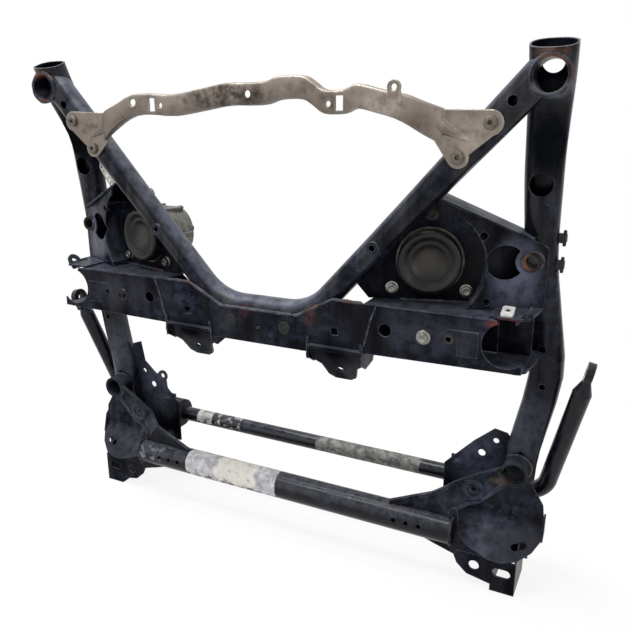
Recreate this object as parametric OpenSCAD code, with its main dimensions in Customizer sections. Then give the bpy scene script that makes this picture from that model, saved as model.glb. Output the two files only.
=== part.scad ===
// Front-axle subframe of a large passenger car, standing on its two end brackets.
// Millimetres. X runs across the car, Y away from the underside, Z up from the floor.
// Depths are measured from the underside face of the crossbeam web.

/* [Layout] */
// Half distance between the rear body-mount sleeves
rear_x = 440; // [425:1:455]
// Height of the rear sleeves above the floor
rear_z = 832; // [815:1:850]
// Half distance between the middle sleeves
mid_x = 428; // [420:1:436]
// Height of the middle sleeves
mid_z = 577; // [570:1:585]
// Half distance between the front sleeves
front_x = 426; // [418:1:434]
// Height of the front sleeves
front_z = 216; // [210:1:224]
// Height of the V tube's middle run
beam_z = 465; // [460:1:470]
// Gap left for a weld between two pieces
weld = 0.2; // [0.1:0.05:0.4]
// Thickness of the pressed sheet
sheet = 3; // [2.5:0.1:4]

/* [Side members] */
// Wall of the side-member tube
side_wall = 2.6; // [2:0.1:4]
// Half width of the side member below the open end
side_half = 27; // [25:0.5:29]
// Half depth of the side member
side_depth = 21; // [19:0.5:23]
// Depth of the side-member centre line at the open end
side_top_y = 18; // [14:1:22]
// Depth of the side-member centre line at its lower half
side_low_y = 141; // [136:1:146]
// How far the side member bulges outward below the beam
side_bulge = 27; // [20:1:32]
// Slope of the open end, whose far rim stands higher
end_slant = 0.38; // [0.2:0.02:0.5]
// Radius of the large hole in the upper part
side_hole_r = 17; // [12:1:20]

/* [V tube] */
// Outer radius of the V tube
v_r = 22.5; // [20:0.5:25]
// Wall of the V tube
v_wall = 2.6; // [2:0.1:4]
// Half distance between the feet of the two legs
v_foot_x = 89.5; // [80:0.5:100]
// Bend radius at each foot
v_bend = 110; // [90:5:130]

/* [Crossbeam] */
// Height of the beam web at its ends
beam_h = 77; // [72:1:82]
// Extra drop of the web in the middle
beam_drop = 16; // [12:1:20]
// Half length of the beam
beam_half = 437; // [428:1:444]
// Depth of the beam flanges
beam_d = 80; // [74:1:86]
// Radius of the control-arm opening at each end
arm_opening_r = 34; // [30:0.5:35]
// Distance of the rack lugs from the middle
lug_x = 143.5; // [138:0.5:150]
// Distance of the rubber plugs from the middle
plug_x = 52.8; // [45:0.5:60]

/* [Engine mounts] */
// Distance of the mount axis from the V leg's axis
mount_off = 70; // [66:0.5:74]
// Height of the mount axis
mount_z = 567; // [562:1:572]
// Depth of the mount seat
mount_y = 60; // [56:1:64]
// Tilt of the mount axis
mount_tilt = 14.7; // [12:0.1:17]
// Radius of the steel cup
cup_r = 49; // [44:0.5:51]
// Radius of the mount's bolt circle
mount_bolt_r = 73; // [68:0.5:76]

/* [Front end] */
// Outer radius of the front cross tube
tube_r = 25.5; // [23:0.5:28]
// Height of the front cross tube
tube_z = 95; // [90:1:100]
// Depth of the front cross tube
tube_y = 76; // [72:1:80]
// Half length of the front cross tube
tube_half = 334.6; // [325:0.2:345]
// Outer half width of each end bracket's box
foot_out = 446; // [440:1:452]
// Width of the end bracket's box
foot_w = 41; // [38:1:44]

/* [Anti-roll bar] */
// Radius of the bar
bar_r = 15; // [13:0.5:16]
// Depth of the bar axis
bar_y = 176; // [170:1:182]
// Height of the bar axis
bar_z = 146; // [140:1:152]
// Distance of the bushes from the middle
bush_x = 322; // [315:1:330]
// Where the arm's line meets the bar axis
arm_x = 465; // [460:1:472]
// Length of each arm
arm_len = 272; // [250:1:290]

/* [Rear brace] */
// Half height of the brace channel
brace_h = 16.5; // [14:0.5:18]
// Depth of the brace channel
brace_d = 18; // [14:0.5:22]
// How far the middle of the brace stands off the V tube
brace_off = 38; // [34:0.5:42]

/* [Hidden] */
$fn = 48;
big = 400;
v_y = v_r + weld;
lean = atan2(rear_z + 18 - beam_z, rear_x - v_foot_x);
v_tan = v_bend * tan(lean / 2);
v_flat = v_foot_x - v_tan;
mount_x = v_foot_x + (mount_z - beam_z) / tan(lean) + mount_off / sin(lean);
beam_top = beam_z + 38;
beam_low = beam_top - beam_h;
beam_mid_low = beam_low - beam_drop;
rear_sleeve_r = 25;
rear_sleeve_y = -2;
rear_sleeve_len = 40;
mid_sleeve_r = 13.5;
mid_sleeve_y = 66;
mid_sleeve_len = 76;
front_sleeve_r = 22.2;
front_sleeve_y = 90;
front_sleeve_len = 84;
bolt_spread = 52;
gusset_a = [mount_x + 18.6, mount_z + 101.6];
gusset_b = [mid_x, mid_z + 31.7];
gusset_tilt = atan2(gusset_a[1] - gusset_b[1], gusset_b[0] - gusset_a[0]);
gusset_len = norm(gusset_b - gusset_a);
flange_tilt = 43;
wall_y = 118;
foot_y = 71;
console_out = 480;
bowl_r = 36;
plate_face = 94;
wall_z = 110.3;
arm_lean = 78;
arm_pitch = 14;
bar_bend = 45;
bar_swell = 0.15;
lug_slope = 33;
ear_lean = -52;
outer_tilt = 24;
pocket_r = 84;
brace_bolt_s = [355, 417.5];
bar_tan = bar_bend * tan(arm_lean / 2);
eye_r = 17;
plate_y = 145;
side_sides = 24;
side_steps = 3;
v_sides = 24;
v_turns = 8;
// Distance along the leg and half width of the V tube there
v_leg = [[110, 19], [170, 19], [240, 19.5], [300, 20.5], [355, 21.5], [418, 23],
  [(rear_x - v_foot_x) / cos(lean), 24]];
brace_round = 5;
brace_flare = 0.12;
y_front = -brace_off;
clamp_r = 26.7;
y_back = bar_y + clamp_r + sheet;
y_mid = (y_front + y_back) / 2;

// Stations of the right side member: x, depth, height, half width, half depth, slant of the section
side_stations = [
  [rear_x - 1, side_top_y, rear_z + 40, 31, side_depth - 1, end_slant],
  [rear_x - 2, side_top_y + 18, rear_z - 2, 30, side_depth + 1, end_slant / 2],
  [rear_x - 8, side_top_y + 60, rear_z - 84, side_half + 1, side_depth + 1, 0],
  [mid_x + 4, side_top_y + 71, mid_z + 108, side_half, side_depth, 0],
  [mid_x + 8, side_top_y + 86, mid_z + 3, side_half - 3, side_depth, 0],
  [mid_x + side_bulge - 9, side_low_y - 15, beam_z + 15, side_half - 1, side_depth, 0],
  [mid_x + side_bulge, side_low_y, beam_z - 85, side_half, side_depth, 0],
  [front_x + 5, side_low_y - 1, front_z + 28, side_half, side_depth, 0],
  [front_x + 2, side_low_y - 5, front_z - 24, side_half - 1, side_depth, 0]
];

// Stations of the brace: x, front depth, height below the rear sleeves, depth of the channel
brace_stations = [
  [-300, -7, -69, 6.4], [-276, 10 - brace_off, -61, 14], [-250, 2 - brace_off, -50, brace_d],
  [-210, -brace_off, -33, brace_d], [-168, -brace_off, -31, brace_d], [-126, -brace_off, -33, brace_d],
  [-70, -brace_off, -25, brace_d], [-24, -brace_off, -18, brace_d], [20, -brace_off, -18, brace_d],
  [46, -brace_off, -16, brace_d], [67, -brace_off, -10, brace_d], [104, -brace_off, -10, brace_d],
  [121, -brace_off, -18, brace_d], [140, -brace_off, -30, brace_d], [170, -brace_off, -30, brace_d],
  [190, -brace_off, -23, brace_d], [222, -brace_off, -30, brace_d], [256, 2 - brace_off, -39, brace_d],
  [282, 12 - brace_off, -52, 14], [306, -7, -64, 6.4]
];

// Point on the V tube's right leg, measured along the leg from its foot
function leg_point(s) = [v_foot_x + s * cos(lean), beam_z + s * sin(lean)];

// Smooth curve through four stations
function blend(a, b, c, d, t) = 0.5 * (2 * b + (c - a) * t + (2 * a - 5 * b + 4 * c - d) * t * t
  + (3 * b - a - 3 * c + d) * t * t * t);

function pick(list, i) = list[max(0, min(len(list) - 1, i))];

function smooth(list, steps) = [
  for (i = [0 : len(list) - 2])
    for (k = [0 : steps - 1])
      blend(pick(list, i - 1), list[i], list[i + 1], pick(list, i + 2), k / steps),
  list[len(list) - 1]
];

// Rounded section at one station, grown by g
function side_ring(s, g) = [
  for (i = [0 : side_sides - 1])
    let (c = cos(360 * i / side_sides), q = sin(360 * i / side_sides))
    let (u = (s[3] + g) * sign(c) * pow(abs(c), 0.8), v = (s[4] + g) * sign(q) * pow(abs(q), 0.8))
      [s[0] + u, s[1] + v, s[2] + s[5] * v]
];

function skin(n, m, base) = [
  for (j = [0 : m - 2])
    for (i = [0 : n - 1])
      for (f = [
        [base + j * n + i, base + j * n + (i + 1) % n, base + (j + 1) * n + (i + 1) % n],
        [base + j * n + i, base + (j + 1) * n + (i + 1) % n, base + (j + 1) * n + i]
      ]) f
];

function flip(faces) = [for (f = faces) [f[2], f[1], f[0]]];

// Moves the depth datum so that the origin lies under the middle of the part
module place() {
  translate([0, -y_mid, 0]) children();
}

// Places a piece on both sides or on one of them
module left() {
  place() mirror([1, 0, 0]) children();
}

module right() {
  place() children();
}

// Cylinder that runs in depth from y to y + h
module pin_y(x, y, z, r, h) {
  translate([x, y, z]) rotate([-90, 0, 0]) cylinder(r = r, h = h);
}

// Long hole of radius r whose two ends lie w apart
module slot(r, w, h) {
  cylinder(r = r, h = h);
  translate([w, 0, 0]) cylinder(r = r, h = h);
  translate([0, 0.03 - r, 0]) cube([w, 2 * r - 0.06, h]);
}

// Sheet in the XZ plane that runs in depth from y to y + t
module sheet_y(y, t) {
  translate([0, y + t, 0]) rotate([90, 0, 0]) linear_extrude(t) children();
}

// Sheet in the YZ plane that runs across from x to x + t
module sheet_x(x, t) {
  translate([x, 0, 0]) rotate([90, 0, 90]) linear_extrude(t) children();
}

// Closed body through a list of rings
module solid_loft(rings) {
  m = len(rings);
  n = len(rings[0]);
  first = [[for (i = [n - 1 : -1 : 0]) i]];
  last = [[for (i = [0 : n - 1]) (m - 1) * n + i]];
  polyhedron(points = [for (r = rings) for (p = r) p], faces = concat(skin(n, m, 0), first, last));
}

// Tube with open ends between two lists of rings
module tube_loft(outer, inner) {
  m = len(outer);
  n = len(outer[0]);
  b = m * n;
  e = (m - 1) * n;
  first = [for (i = [0 : n - 1]) for (f = [
    [(i + 1) % n, i, b + i], [(i + 1) % n, b + i, b + (i + 1) % n]]) f];
  last = [for (i = [0 : n - 1]) for (f = [
    [e + i, e + (i + 1) % n, b + e + i], [e + (i + 1) % n, b + e + (i + 1) % n, b + e + i]]) f];
  polyhedron(points = concat([for (r = outer) for (p = r) p], [for (r = inner) for (p = r) p]),
    faces = concat(skin(n, m, 0), flip(skin(n, m, b)), first, last));
}

// Solid outline of the right side member between two of its stations, grown by g
module side_solid(g, from, to) {
  st = smooth(side_stations, side_steps);
  solid_loft([for (i = [from * side_steps : to * side_steps]) side_ring(st[i], g)]);
}

// Open tube of the right side member
module side_tube() {
  st = smooth(side_stations, side_steps);
  tube_loft([for (s = st) side_ring(s, 0)], [for (s = st) side_ring(s, -side_wall)]);
}

module sleeve_cuts(g) {
  pin_y(rear_x, -big / 4, rear_z, rear_sleeve_r + g, rear_sleeve_len + rear_sleeve_y + big / 4);
  pin_y(mid_x, 0, mid_z, mid_sleeve_r + g, big);
  pin_y(front_x, 0, front_z, front_sleeve_r + g, big);
}

module side_member() {
  color("#23262e")
  difference() {
    side_tube();
    sleeve_cuts(weld);
    pin_y(rear_x - 4, rear_sleeve_len, rear_z + 20, side_hole_r - 2, big / 4);
    pin_y(rear_x - 9, 0, mid_z + 111.6, side_hole_r, mid_sleeve_y + 30);
    pin_y(mid_x + 20, 0, beam_z - 36, 6, side_low_y - 20);
    pin_y(mid_x + 25, 0, beam_z - 100, 5, side_low_y);
    pin_y(front_x + 4, 0, front_z + 25, 5, side_low_y);
  }
}

// Stations of the V tube's right half: x, height, direction, half width
function v_half() = concat(
  [for (u = [0, 0.5, 1]) [u * v_flat, beam_z, 0, v_r - 0.5]],
  [for (k = [1 : v_turns]) let (a = lean * k / v_turns)
    [v_flat + v_bend * sin(a), beam_z + v_bend * (1 - cos(a)), a, v_r - 0.5 - 3 * k / v_turns]],
  [for (w = v_leg) let (p = leg_point(w[0])) [p[0], p[1], lean, w[1]]]
);

function v_stations() = let (h = v_half(), n = len(h)) concat(
  [for (i = [n - 1 : -1 : 1]) [-h[i][0], h[i][1], -h[i][2], h[i][3]]], h);

function v_ring(s, g) = [
  for (i = [0 : v_sides - 1])
    let (c = cos(360 * i / v_sides), q = sin(360 * i / v_sides), e = 0.88)
    let (u = (s[3] + g) * sign(c) * pow(abs(c), e), v = (v_r + g) * sign(q) * pow(abs(q), e))
      [s[0] - sin(s[2]) * u, v_y + v, s[1] + cos(s[2]) * u]
];

// Solid outline of the V tube between two stations counted from its middle, grown by g
module v_solid(g, from, to) {
  st = v_stations();
  mid = (len(st) - 1) / 2;
  solid_loft([for (i = [mid + from : mid + to]) v_ring(st[i], g)]);
}

module v_crossmember() {
  color("#23262e")
  place()
  difference() {
    union() {
      tube_loft([for (s = v_stations()) v_ring(s, 0)], [for (s = v_stations()) v_ring(s, -v_wall)]);
      for (k = [0, 1])
        mirror([k, 0, 0])
          pin_y(leg_point(170)[0], -2, leg_point(170)[1], 10, 2 + v_wall);
    }
    for (k = [0, 1])
      mirror([k, 0, 0]) {
        side_solid(weld, 0, 4);
        sleeve_cuts(weld);
        pin_y(leg_point(170)[0], -v_r, leg_point(170)[1], 5, 2 * v_r);
        pin_y(leg_point(455)[0], -v_r, leg_point(455)[1], 7, 2 * v_r);
        for (s = brace_bolt_s)
          pin_y(leg_point(s)[0], -v_r, leg_point(s)[1], 4.2, 2 * v_r);
      }
  }
}

// Lower edge of the right half of the beam, raised by u
function beam_edge(u) = [
  [0, beam_mid_low + u], [lug_x - 54, beam_mid_low + u], [lug_x + 56, beam_low - 4 + u],
  [beam_half, beam_low + u]
];

// Right half of the crossbeam web
module web_outline() {
  polygon(concat(beam_edge(0), [
    [beam_half, beam_low + 16], [beam_half - 40, beam_top], [v_foot_x + 50, beam_top],
    [v_foot_x - 14, beam_z + 3], [0, beam_z + 3]
  ]));
}

// Right half of the lower flange, seen along the depth
module low_flange_outline() {
  up = beam_edge(sheet);
  polygon(concat(beam_edge(0), [up[3], up[2], up[1], up[0]]));
}

module crossbeam() {
  color("#20232b")
  place()
  difference() {
    union() {
      for (k = [0, 1])
        mirror([k, 0, 0]) {
          sheet_y(-sheet, sheet) web_outline();
          sheet_y(-sheet, beam_d + sheet) low_flange_outline();
          translate([v_foot_x + 103, -sheet, beam_top - sheet])
            cube([beam_half - v_foot_x - 103 - 44, beam_d + sheet, sheet]);
          sheet_y(-sheet - 1.4, sheet)
            polygon([[mount_x + 66, beam_low + 16], [mount_x + 96, beam_low + 16],
              [mount_x + 96, beam_top - 22], [mount_x + 50, beam_top - 22], [mount_x + 38, beam_top - 34],
              [mount_x + 66, beam_top - 34]]);
        }
    }
    v_solid(weld, -13, 13);
    pin_y(0, -big, beam_z - 24, 4, big + sheet);
    for (k = [0, 1])
      mirror([k, 0, 0]) {
        side_solid(weld, 4, 6);
        pin_y(plug_x, -big, beam_z - 20, 8, big + sheet);
        pin_y(mount_x - 48, -big, beam_z, 10, big + sheet);
        pin_y(mount_x + 52, -big, beam_z, 4.5, big + sheet);
        pin_y(mount_x + 14, -big, beam_z - 2, 5.2, big + sheet);
        translate([lug_x - 6, -big, beam_z - 20]) cube([12, big + sheet, 12]);
        pin_y(beam_half - 25, -big, beam_z + 1, arm_opening_r, big + sheet);
      }
  }
}

module crossbeam_cover() {
  color("#1d2027")
  place()
  for (k = [0, 1])
    mirror([k, 0, 0])
      sheet_y(beam_d - 2 * sheet, sheet)
        polygon([[0, beam_mid_low + sheet + weld], [lug_x - 54, beam_mid_low + sheet + weld],
          [lug_x + 55, beam_low - 4 + sheet + weld], [beam_half - 50, beam_low + sheet + weld],
          [beam_half - 50, beam_top - sheet - weld], [v_foot_x + 130, beam_top - sheet - weld],
          [v_foot_x + 80, beam_z - 4], [0, beam_z - 4]]);
}

// Space taken by the beam and everything over its lower edge
module over_beam_edge() {
  sheet_y(-sheet - weld, big) polygon(concat(beam_edge(-weld), [[beam_half, big * 2], [0, big * 2]]));
}

// Frame of the sloped plate of the rack lug
module lug_frame() {
  translate([lug_x, -1, beam_mid_low + 3]) rotate([lug_slope, 0, 0]) children();
}

module rack_lug() {
  color("#20232b")
  difference() {
    union() {
      lug_frame() sheet_y(0, 5)
        polygon([[-48, 12], [48, 12], [48, -22], [32, -34], [25, -60], [14, -68], [-14, -68], [-25, -60],
          [-32, -34], [-48, -22]]);
      for (x = [-48, 48 - sheet]) {
        sheet_x(lug_x + x, sheet)
          polygon([[-sheet - weld, beam_mid_low + 12], [58, beam_mid_low + 12], [48, beam_mid_low - 16],
            [16, beam_mid_low - 22], [-sheet - weld, beam_mid_low - 10]]);
        sheet_y(-2 * sheet - weld, sheet)
          polygon([[lug_x + x, beam_mid_low - 10], [lug_x + x + sheet, beam_mid_low - 10],
            [lug_x + x + sheet, beam_mid_low + 26], [lug_x + x, beam_mid_low + 26]]);
      }
    }
    over_beam_edge();
    lug_frame() pin_y(0, -big / 2, -42, 6, big);
  }
}

// Frame of the drilled ear at the beam end
module ear_frame() {
  translate([beam_half - 3, 24, beam_top + 5]) rotate([0, ear_lean, 0]) children();
}

module arm_bracket() {
  color("#20232b")
  difference() {
    union() {
      for (z = [beam_top + weld, beam_low - sheet - weld])
        translate([0, 0, z]) linear_extrude(sheet)
          polygon([[beam_half - 52, 6], [beam_half - 8, 4], [beam_half + 4, 16], [beam_half + 10, 60],
            [beam_half + 14, side_low_y], [beam_half - 34, side_low_y], [beam_half - 52, beam_d]]);
      ear_frame() cylinder(r = 14, h = 4);
      ear_frame() translate([-16, -14, 0]) cube([16, 44, 4]);
      translate([beam_half - 52, beam_d + weld, beam_low - weld - sheet / 2])
        cube([52, sheet, beam_top - beam_low + 2 * weld + sheet]);
    }
    side_solid(weld, 4, 6);
    ear_frame() translate([0, 0, -big / 4]) cylinder(r = 6.5, h = big / 2);
    translate([0, -big / 2, beam_low - weld]) cube([beam_half - 43, big / 2 + beam_d + weld, beam_h + weld]);
    sheet_y(-sheet - weld, beam_d + sheet + 2 * weld)
      polygon(concat(beam_edge(-weld),
        [[beam_half, beam_low + 17], [beam_half - 40, beam_top + weld], [0, beam_top]]));
    pin_y(mid_x, 0, mid_z, mid_sleeve_r + weld, big);
    translate([beam_half - 20, 40, 0]) cylinder(r = 9, h = beam_low + sheet);
  }
}

// Frame of the right engine mount: Y along the mount axis, origin on the seat
module mount_frame() {
  translate([mount_x, mount_y, mount_z]) rotate([0, 0, mount_tilt]) children();
}

module at_mount_bolts() {
  for (a = [90, -90 + bolt_spread, -90 - bolt_spread])
    translate([mount_bolt_r * cos(a), 0, mount_bolt_r * sin(a)]) children();
}

// Space above the gusset strip's underside
module above_gusset() {
  translate([gusset_a[0], 0, gusset_a[1] - weld]) rotate([0, gusset_tilt, 0])
    translate([-big, -big, 0]) cube([3 * big, 2 * big, big]);
}

// Frame of the pocket's outer plate
module outer_frame() {
  translate([mount_x + 88, mount_y - 15, mount_z - 7]) rotate([0, 0, outer_tilt]) children();
}

module mount_pocket() {
  color("#22252d")
  difference() {
    union() {
      mount_frame() sheet_y(0, sheet)
        polygon([[-89, -70], [156, -70], [156, 60], [12, 98], [-2, 93], [-118, -36]]);
      difference() {
        mount_frame() rotate([-90, 0, 0]) translate([0, 0, -55]) rotate([0, 0, -42])
          rotate_extrude(angle = 84) translate([pocket_r, 0]) square([sheet, 55 + sheet / 2]);
        outer_frame() translate([-big, -big + sheet / 2, -big]) cube([2 * big, big, 2 * big]);
      }
      difference() {
        outer_frame() sheet_y(0, sheet)
          polygon([[-42, -58], [92, -58], [92, 44], [62, 60], [-22, 92], [-42, 96]]);
        mount_frame() pin_y(0, -big / 2, 0, pocket_r + sheet / 2, big);
      }
    }
    above_gusset();
    v_solid(weld, 3, 16);
    side_solid(weld, 3, 6);
    sleeve_cuts(weld);
    translate([0, -big / 2, 0]) cube([2 * big, 2 * big, beam_top + weld]);
    translate([beam_half - 54, -big / 2, 0]) cube([big, 2 * big, beam_top + sheet + 2 * weld]);
    ear_frame() translate([-20, -18, -weld]) cube([40, 52, 6]);
    mount_frame() {
      pin_y(0, -big / 2, 0, cup_r + 4, big);
      at_mount_bolts() pin_y(0, -big / 8, 0, 5.2, big / 4);
    }
    outer_frame() {
      pin_y(-4, -4 * sheet, 54, 6, 6 * sheet);
      pin_y(6, -4 * sheet, -46, 5, 6 * sheet);
    }
    difference() {
      pin_y(mid_x - 36, 0, mid_z - 2, 26, mount_y + 6 * sheet);
      pin_y(mid_x, 0, mid_z, mid_sleeve_r + 9, 2 * mid_sleeve_y);
    }
  }
}

module gusset() {
  color("#2a2d35")
  difference() {
    translate([gusset_a[0], 0, gusset_a[1]]) rotate([0, gusset_tilt, 0]) linear_extrude(sheet)
      polygon([[-4, 14], [gusset_len, 62], [gusset_len, 104], [-4, 66]]);
    v_solid(weld, 10, 17);
    side_solid(weld, 2, 5);
    sleeve_cuts(weld);
  }
}

module ring_sleeve(x, y, z, r, bore, h) {
  difference() {
    pin_y(x, y, z, r, h);
    pin_y(x, y - 1, z, bore, h + 2);
  }
}

module rear_sleeve() {
  color("#2b2a2c")
    ring_sleeve(rear_x, rear_sleeve_y, rear_z, rear_sleeve_r, rear_sleeve_r - 3.5, rear_sleeve_len);
}

module mid_sleeve() {
  color("#3a2a22")
    ring_sleeve(mid_x, mid_sleeve_y, mid_z, mid_sleeve_r, mid_sleeve_r - 4.2, mid_sleeve_len);
}

module front_sleeve() {
  color("#2b2a2c")
    ring_sleeve(front_x, front_sleeve_y, front_z, front_sleeve_r, front_sleeve_r - 4, front_sleeve_len);
}

module front_cross_tube() {
  color("#1c1e24")
  place()
  difference() {
    translate([-tube_half, tube_y, tube_z]) rotate([0, 90, 0]) cylinder(r = tube_r, h = 2 * tube_half);
    translate([-tube_half - 1, tube_y, tube_z]) rotate([0, 90, 0])
      cylinder(r = tube_r - 2.5, h = 2 * tube_half + 2);
    for (x = [-100, -77, -54])
      for (k = [0, 1])
        mirror([k, 0, 0]) pin_y(tube_half + x, 0, tube_z + 4, 4, tube_y);
  }
}

// Frame of the sloped console flange, origin on the back wall's foot
module flange_frame() {
  translate([0, wall_y, wall_z]) rotate([flange_tilt, 0, 0]) children();
}

// Section of the console's sheet: wall, bowl and flange
module console_section() {
  reach = bowl_r * (1 - sin(flange_tilt)) / cos(flange_tilt);
  translate([wall_y, wall_z + reach]) square([sheet, big / 4]);
  intersection() {
    translate([wall_y - bowl_r, wall_z + reach]) difference() {
      circle(r = bowl_r + sheet);
      circle(r = bowl_r);
    }
    translate([wall_y - bowl_r, wall_z + reach])
      polygon([[0, 0], [2 * bowl_r, 0.5], [2 * bowl_r, -2 * bowl_r],
        2 * bowl_r * [sin(flange_tilt), -cos(flange_tilt)] - 0.5 * [cos(flange_tilt), sin(flange_tilt)]]);
  }
  translate([wall_y, wall_z]) rotate(flange_tilt)
    translate([-big / 4, -sheet]) square([big / 4 - reach, sheet]);
}

module console_shell() {
  shell_in = tube_half + weld + sheet / 2;
  shell_out = console_out - sheet / 2;
  shell_back = wall_y + sheet + 0.5;
  color("#1e2128")
  difference() {
    union() {
      intersection() {
        sheet_x(shell_in, shell_out - shell_in) console_section();
        union() {
          sheet_y(wall_y - bowl_r / 2, bowl_r)
            polygon([[shell_in - 1, wall_z], [shell_in - 1, wall_z + 14], [front_x - 54, wall_z + 42],
              [front_x - 22, front_z - 24.5], [front_x + 26, front_z - 24.5], [console_out - 6, wall_z + 46],
              [console_out, wall_z]]);
          flange_frame() translate([0, 0, -bowl_r / 2]) linear_extrude(bowl_r)
            polygon([[shell_in - 1, 4], [shell_in - 1, -40], [front_x - 74, -55], [front_x - 26, -71],
              [front_x - 4, -72], [front_x + 20, -62], [front_x + 40, -42], [console_out, -14],
              [console_out, 4]]);
        }
      }
      sheet_x(tube_half + weld, sheet)
        polygon([[tube_y - 26, tube_z - 12], [shell_back, wall_z - 6], [shell_back, wall_z + 15],
          [tube_y - 18, tube_z + 28], [tube_y - 26, tube_z + 14]]);
      sheet_x(shell_out - sheet / 2, sheet)
        polygon([[wall_y - 14, wall_z - 15], [shell_back, wall_z - 6], [shell_back, wall_z + 30],
          [wall_y - 3, wall_z + 24]]);
    }
    side_solid(weld, 6, 8);
    sleeve_cuts(weld);
    flange_frame() translate([front_x + 12, -40, -big / 2]) rotate([0, 0, 27]) slot(6, 14, big);
  }
}

// Frame of the upper console plate: X along the plate, down to the cross tube
module plate_frame() {
  translate([front_x, 0, front_z]) rotate([0, 141.3, 0]) children();
}

// Bent sheet of the upper console plate, from t before its face to t2 behind it
module plate_bend(t, t2) {
  foot_y = tube_y - 5;
  plate_frame() translate([0, 0, -90]) linear_extrude(140)
    polygon([[0, plate_face - t], [100, plate_face - t], [136, foot_y - t], [240, foot_y - t],
      [240, foot_y + t2], [136, foot_y + t2], [100, plate_face + t2], [0, plate_face + t2]]);
}

// Outline of the upper console plate seen along the depth, drawn in by g
module plate_outline(g) {
  polygon([[front_x - 22 - g, front_z + 8 - g], [front_x - 55, front_z - 10 - g],
    [front_x - 108, front_z - 44 - g], [tube_half - 69, tube_z + 53 - g],
    [tube_half - 116 + 4 * g, tube_z + 31 - g / 2], [tube_half - 116 + 4 * g, tube_z + 20 + g],
    [tube_half - 1.5 - g, tube_z + 20 + g],
    [tube_half - 1.5 - g, tube_z + 36 + g / 2], [front_x - 53, front_z - 68 + g],
    [front_x - 16 - g, front_z - 29 + g],
    [front_x - 4 - g, front_z - 18 + g]]);
}

module console_plate() {
  color("#2a2d34")
  difference() {
    union() {
      intersection() {
        plate_bend(0, sheet);
        sheet_y(0, big) plate_outline(0);
      }
      difference() {
        intersection() {
          plate_bend(4, sheet / 2);
          sheet_y(0, big) plate_outline(0.4);
        }
        sheet_y(-1, big) plate_outline(6);
      }
      plate_frame() rotate([-90, 0, 0]) translate([78, 5.5, plate_face - 3.5]) cylinder(r = 19, h = 4);
    }
    plate_frame() rotate([-90, 0, 0]) translate([78, 5.5, plate_face - 6]) cylinder(r = 13, h = 6);
    plate_frame() rotate([-90, 0, 0]) translate([78, 5.5, 0]) cylinder(r = 5, h = big);
    translate([-big, tube_y, tube_z]) rotate([0, 90, 0]) cylinder(r = tube_r + weld, h = 3 * big);
    side_solid(weld, 6, 8);
    sleeve_cuts(weld);
  }
}

module end_bracket() {
  color("#1b1d23")
  difference() {
    union() {
      sheet_y(foot_y, sheet)
        polygon([[foot_out - 106, 50], [foot_out - 100, 36], [foot_out - 82, 20], [foot_out - foot_w, 12],
          [foot_out - foot_w, 0], [foot_out, 0], [foot_out, 62.1], [foot_out - 86, 62.1],
          [foot_out - 101, 60]]);
      for (x = [foot_out - foot_w, foot_out - sheet])
        sheet_x(x, sheet)
          polygon([[foot_y + 1, 0], [foot_y + 81, 0], [foot_y + 81, 50], [wall_y + 5, wall_z - 11],
            [wall_y - 7, wall_z - 11], [foot_y + 1, 63]]);
    }
    pin_y(foot_out - 70, 0, 40, 9, big);
    translate([foot_out - 30, 0, 38]) rotate([-90, 0, 0]) slot(8, 14, foot_y + 30);
  }
}

module stabiliser_plate(eyelet) {
  eye = [front_x - 91, front_z + 24];
  shoulder = [front_x - 80, front_z + 20];
  neck = eyelet ? [eye + [-10, -27], eye + [-8, -6], eye + [5, 9], eye + [17, 1.3]] : [shoulder];
  color("#1e2128")
  difference() {
    union() {
      sheet_y(plate_y, sheet)
        polygon(concat([[bush_x - 26, bar_z - 52], [bush_x - 26, bar_z + 36]], neck,
          [[front_x - 46, front_z + 50], [front_x - 24, front_z + 46], [front_x, front_z + 16],
          [front_x, front_z], [front_x - 34, front_z - 26], [bush_x + 38, bar_z - 20],
          [bush_x + 26, bar_z - 52]]));
      if (eyelet)
        pin_y(eye[0], plate_y + weld, eye[1], 12, sheet - 2 * weld);
    }
    if (eyelet)
      pin_y(eye[0], 0, eye[1], 5, big);
    side_solid(weld, 6, 8);
    sleeve_cuts(weld);
    pin_y(front_x - 65, 0, front_z, 6.5, big);
    pin_y(front_x - 42, 0, front_z + 28, 5, big);
    for (z = [bar_z - 41, bar_z + 41])
      pin_y(bush_x, 0, z, 4.2, big);
  }
}

// Outline of a bar bush or of its clamp, seen along the bar
module bush_outline(r) {
  translate([bar_y, bar_z]) circle(r = r);
  translate([plate_y + sheet + weld, bar_z - r]) square([bar_y - plate_y - sheet - weld, 2 * r]);
}

module bar_bush() {
  color("#141414")
  difference() {
    sheet_x(bush_x - 18, 36) bush_outline(clamp_r - weld);
    translate([0, bar_y, bar_z]) rotate([0, 90, 0]) cylinder(r = bar_r + 0.06, h = 2 * big);
  }
}

module bush_clamp() {
  color("#2c2e33")
  difference() {
    union() {
      sheet_x(bush_x - 15, 30) bush_outline(clamp_r + sheet);
      translate([bush_x - 15, plate_y + sheet + weld, bar_z - 54]) cube([30, 4, 108]);
    }
    sheet_x(bush_x - 20, 40) {
      bush_outline(clamp_r);
      translate([plate_y, bar_z - clamp_r]) square([10, 2 * clamp_r]);
    }
    for (z = [bar_z - 41, bar_z + 41])
      pin_y(bush_x, 0, z, 4.2, big);
  }
}

// Hex flange bolt whose head looks toward -Y, seated on y
module flange_bolt(x, y, z, r, grip) {
  pin_y(x, y - 2.4, z, 2 * r + 1.4, 2.4);
  translate([x, y - 8, z]) rotate([-90, 0, 0]) cylinder(r = 1.8 * r, h = 6, $fn = 6);
  pin_y(x, y - 1, z, r, grip + 1);
}

module clamp_bolts() {
  color("#8d8f90")
  for (z = [bar_z - 41, bar_z + 41])
    flange_bolt(bush_x, plate_y - weld, z, 4, 16);
}

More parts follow.
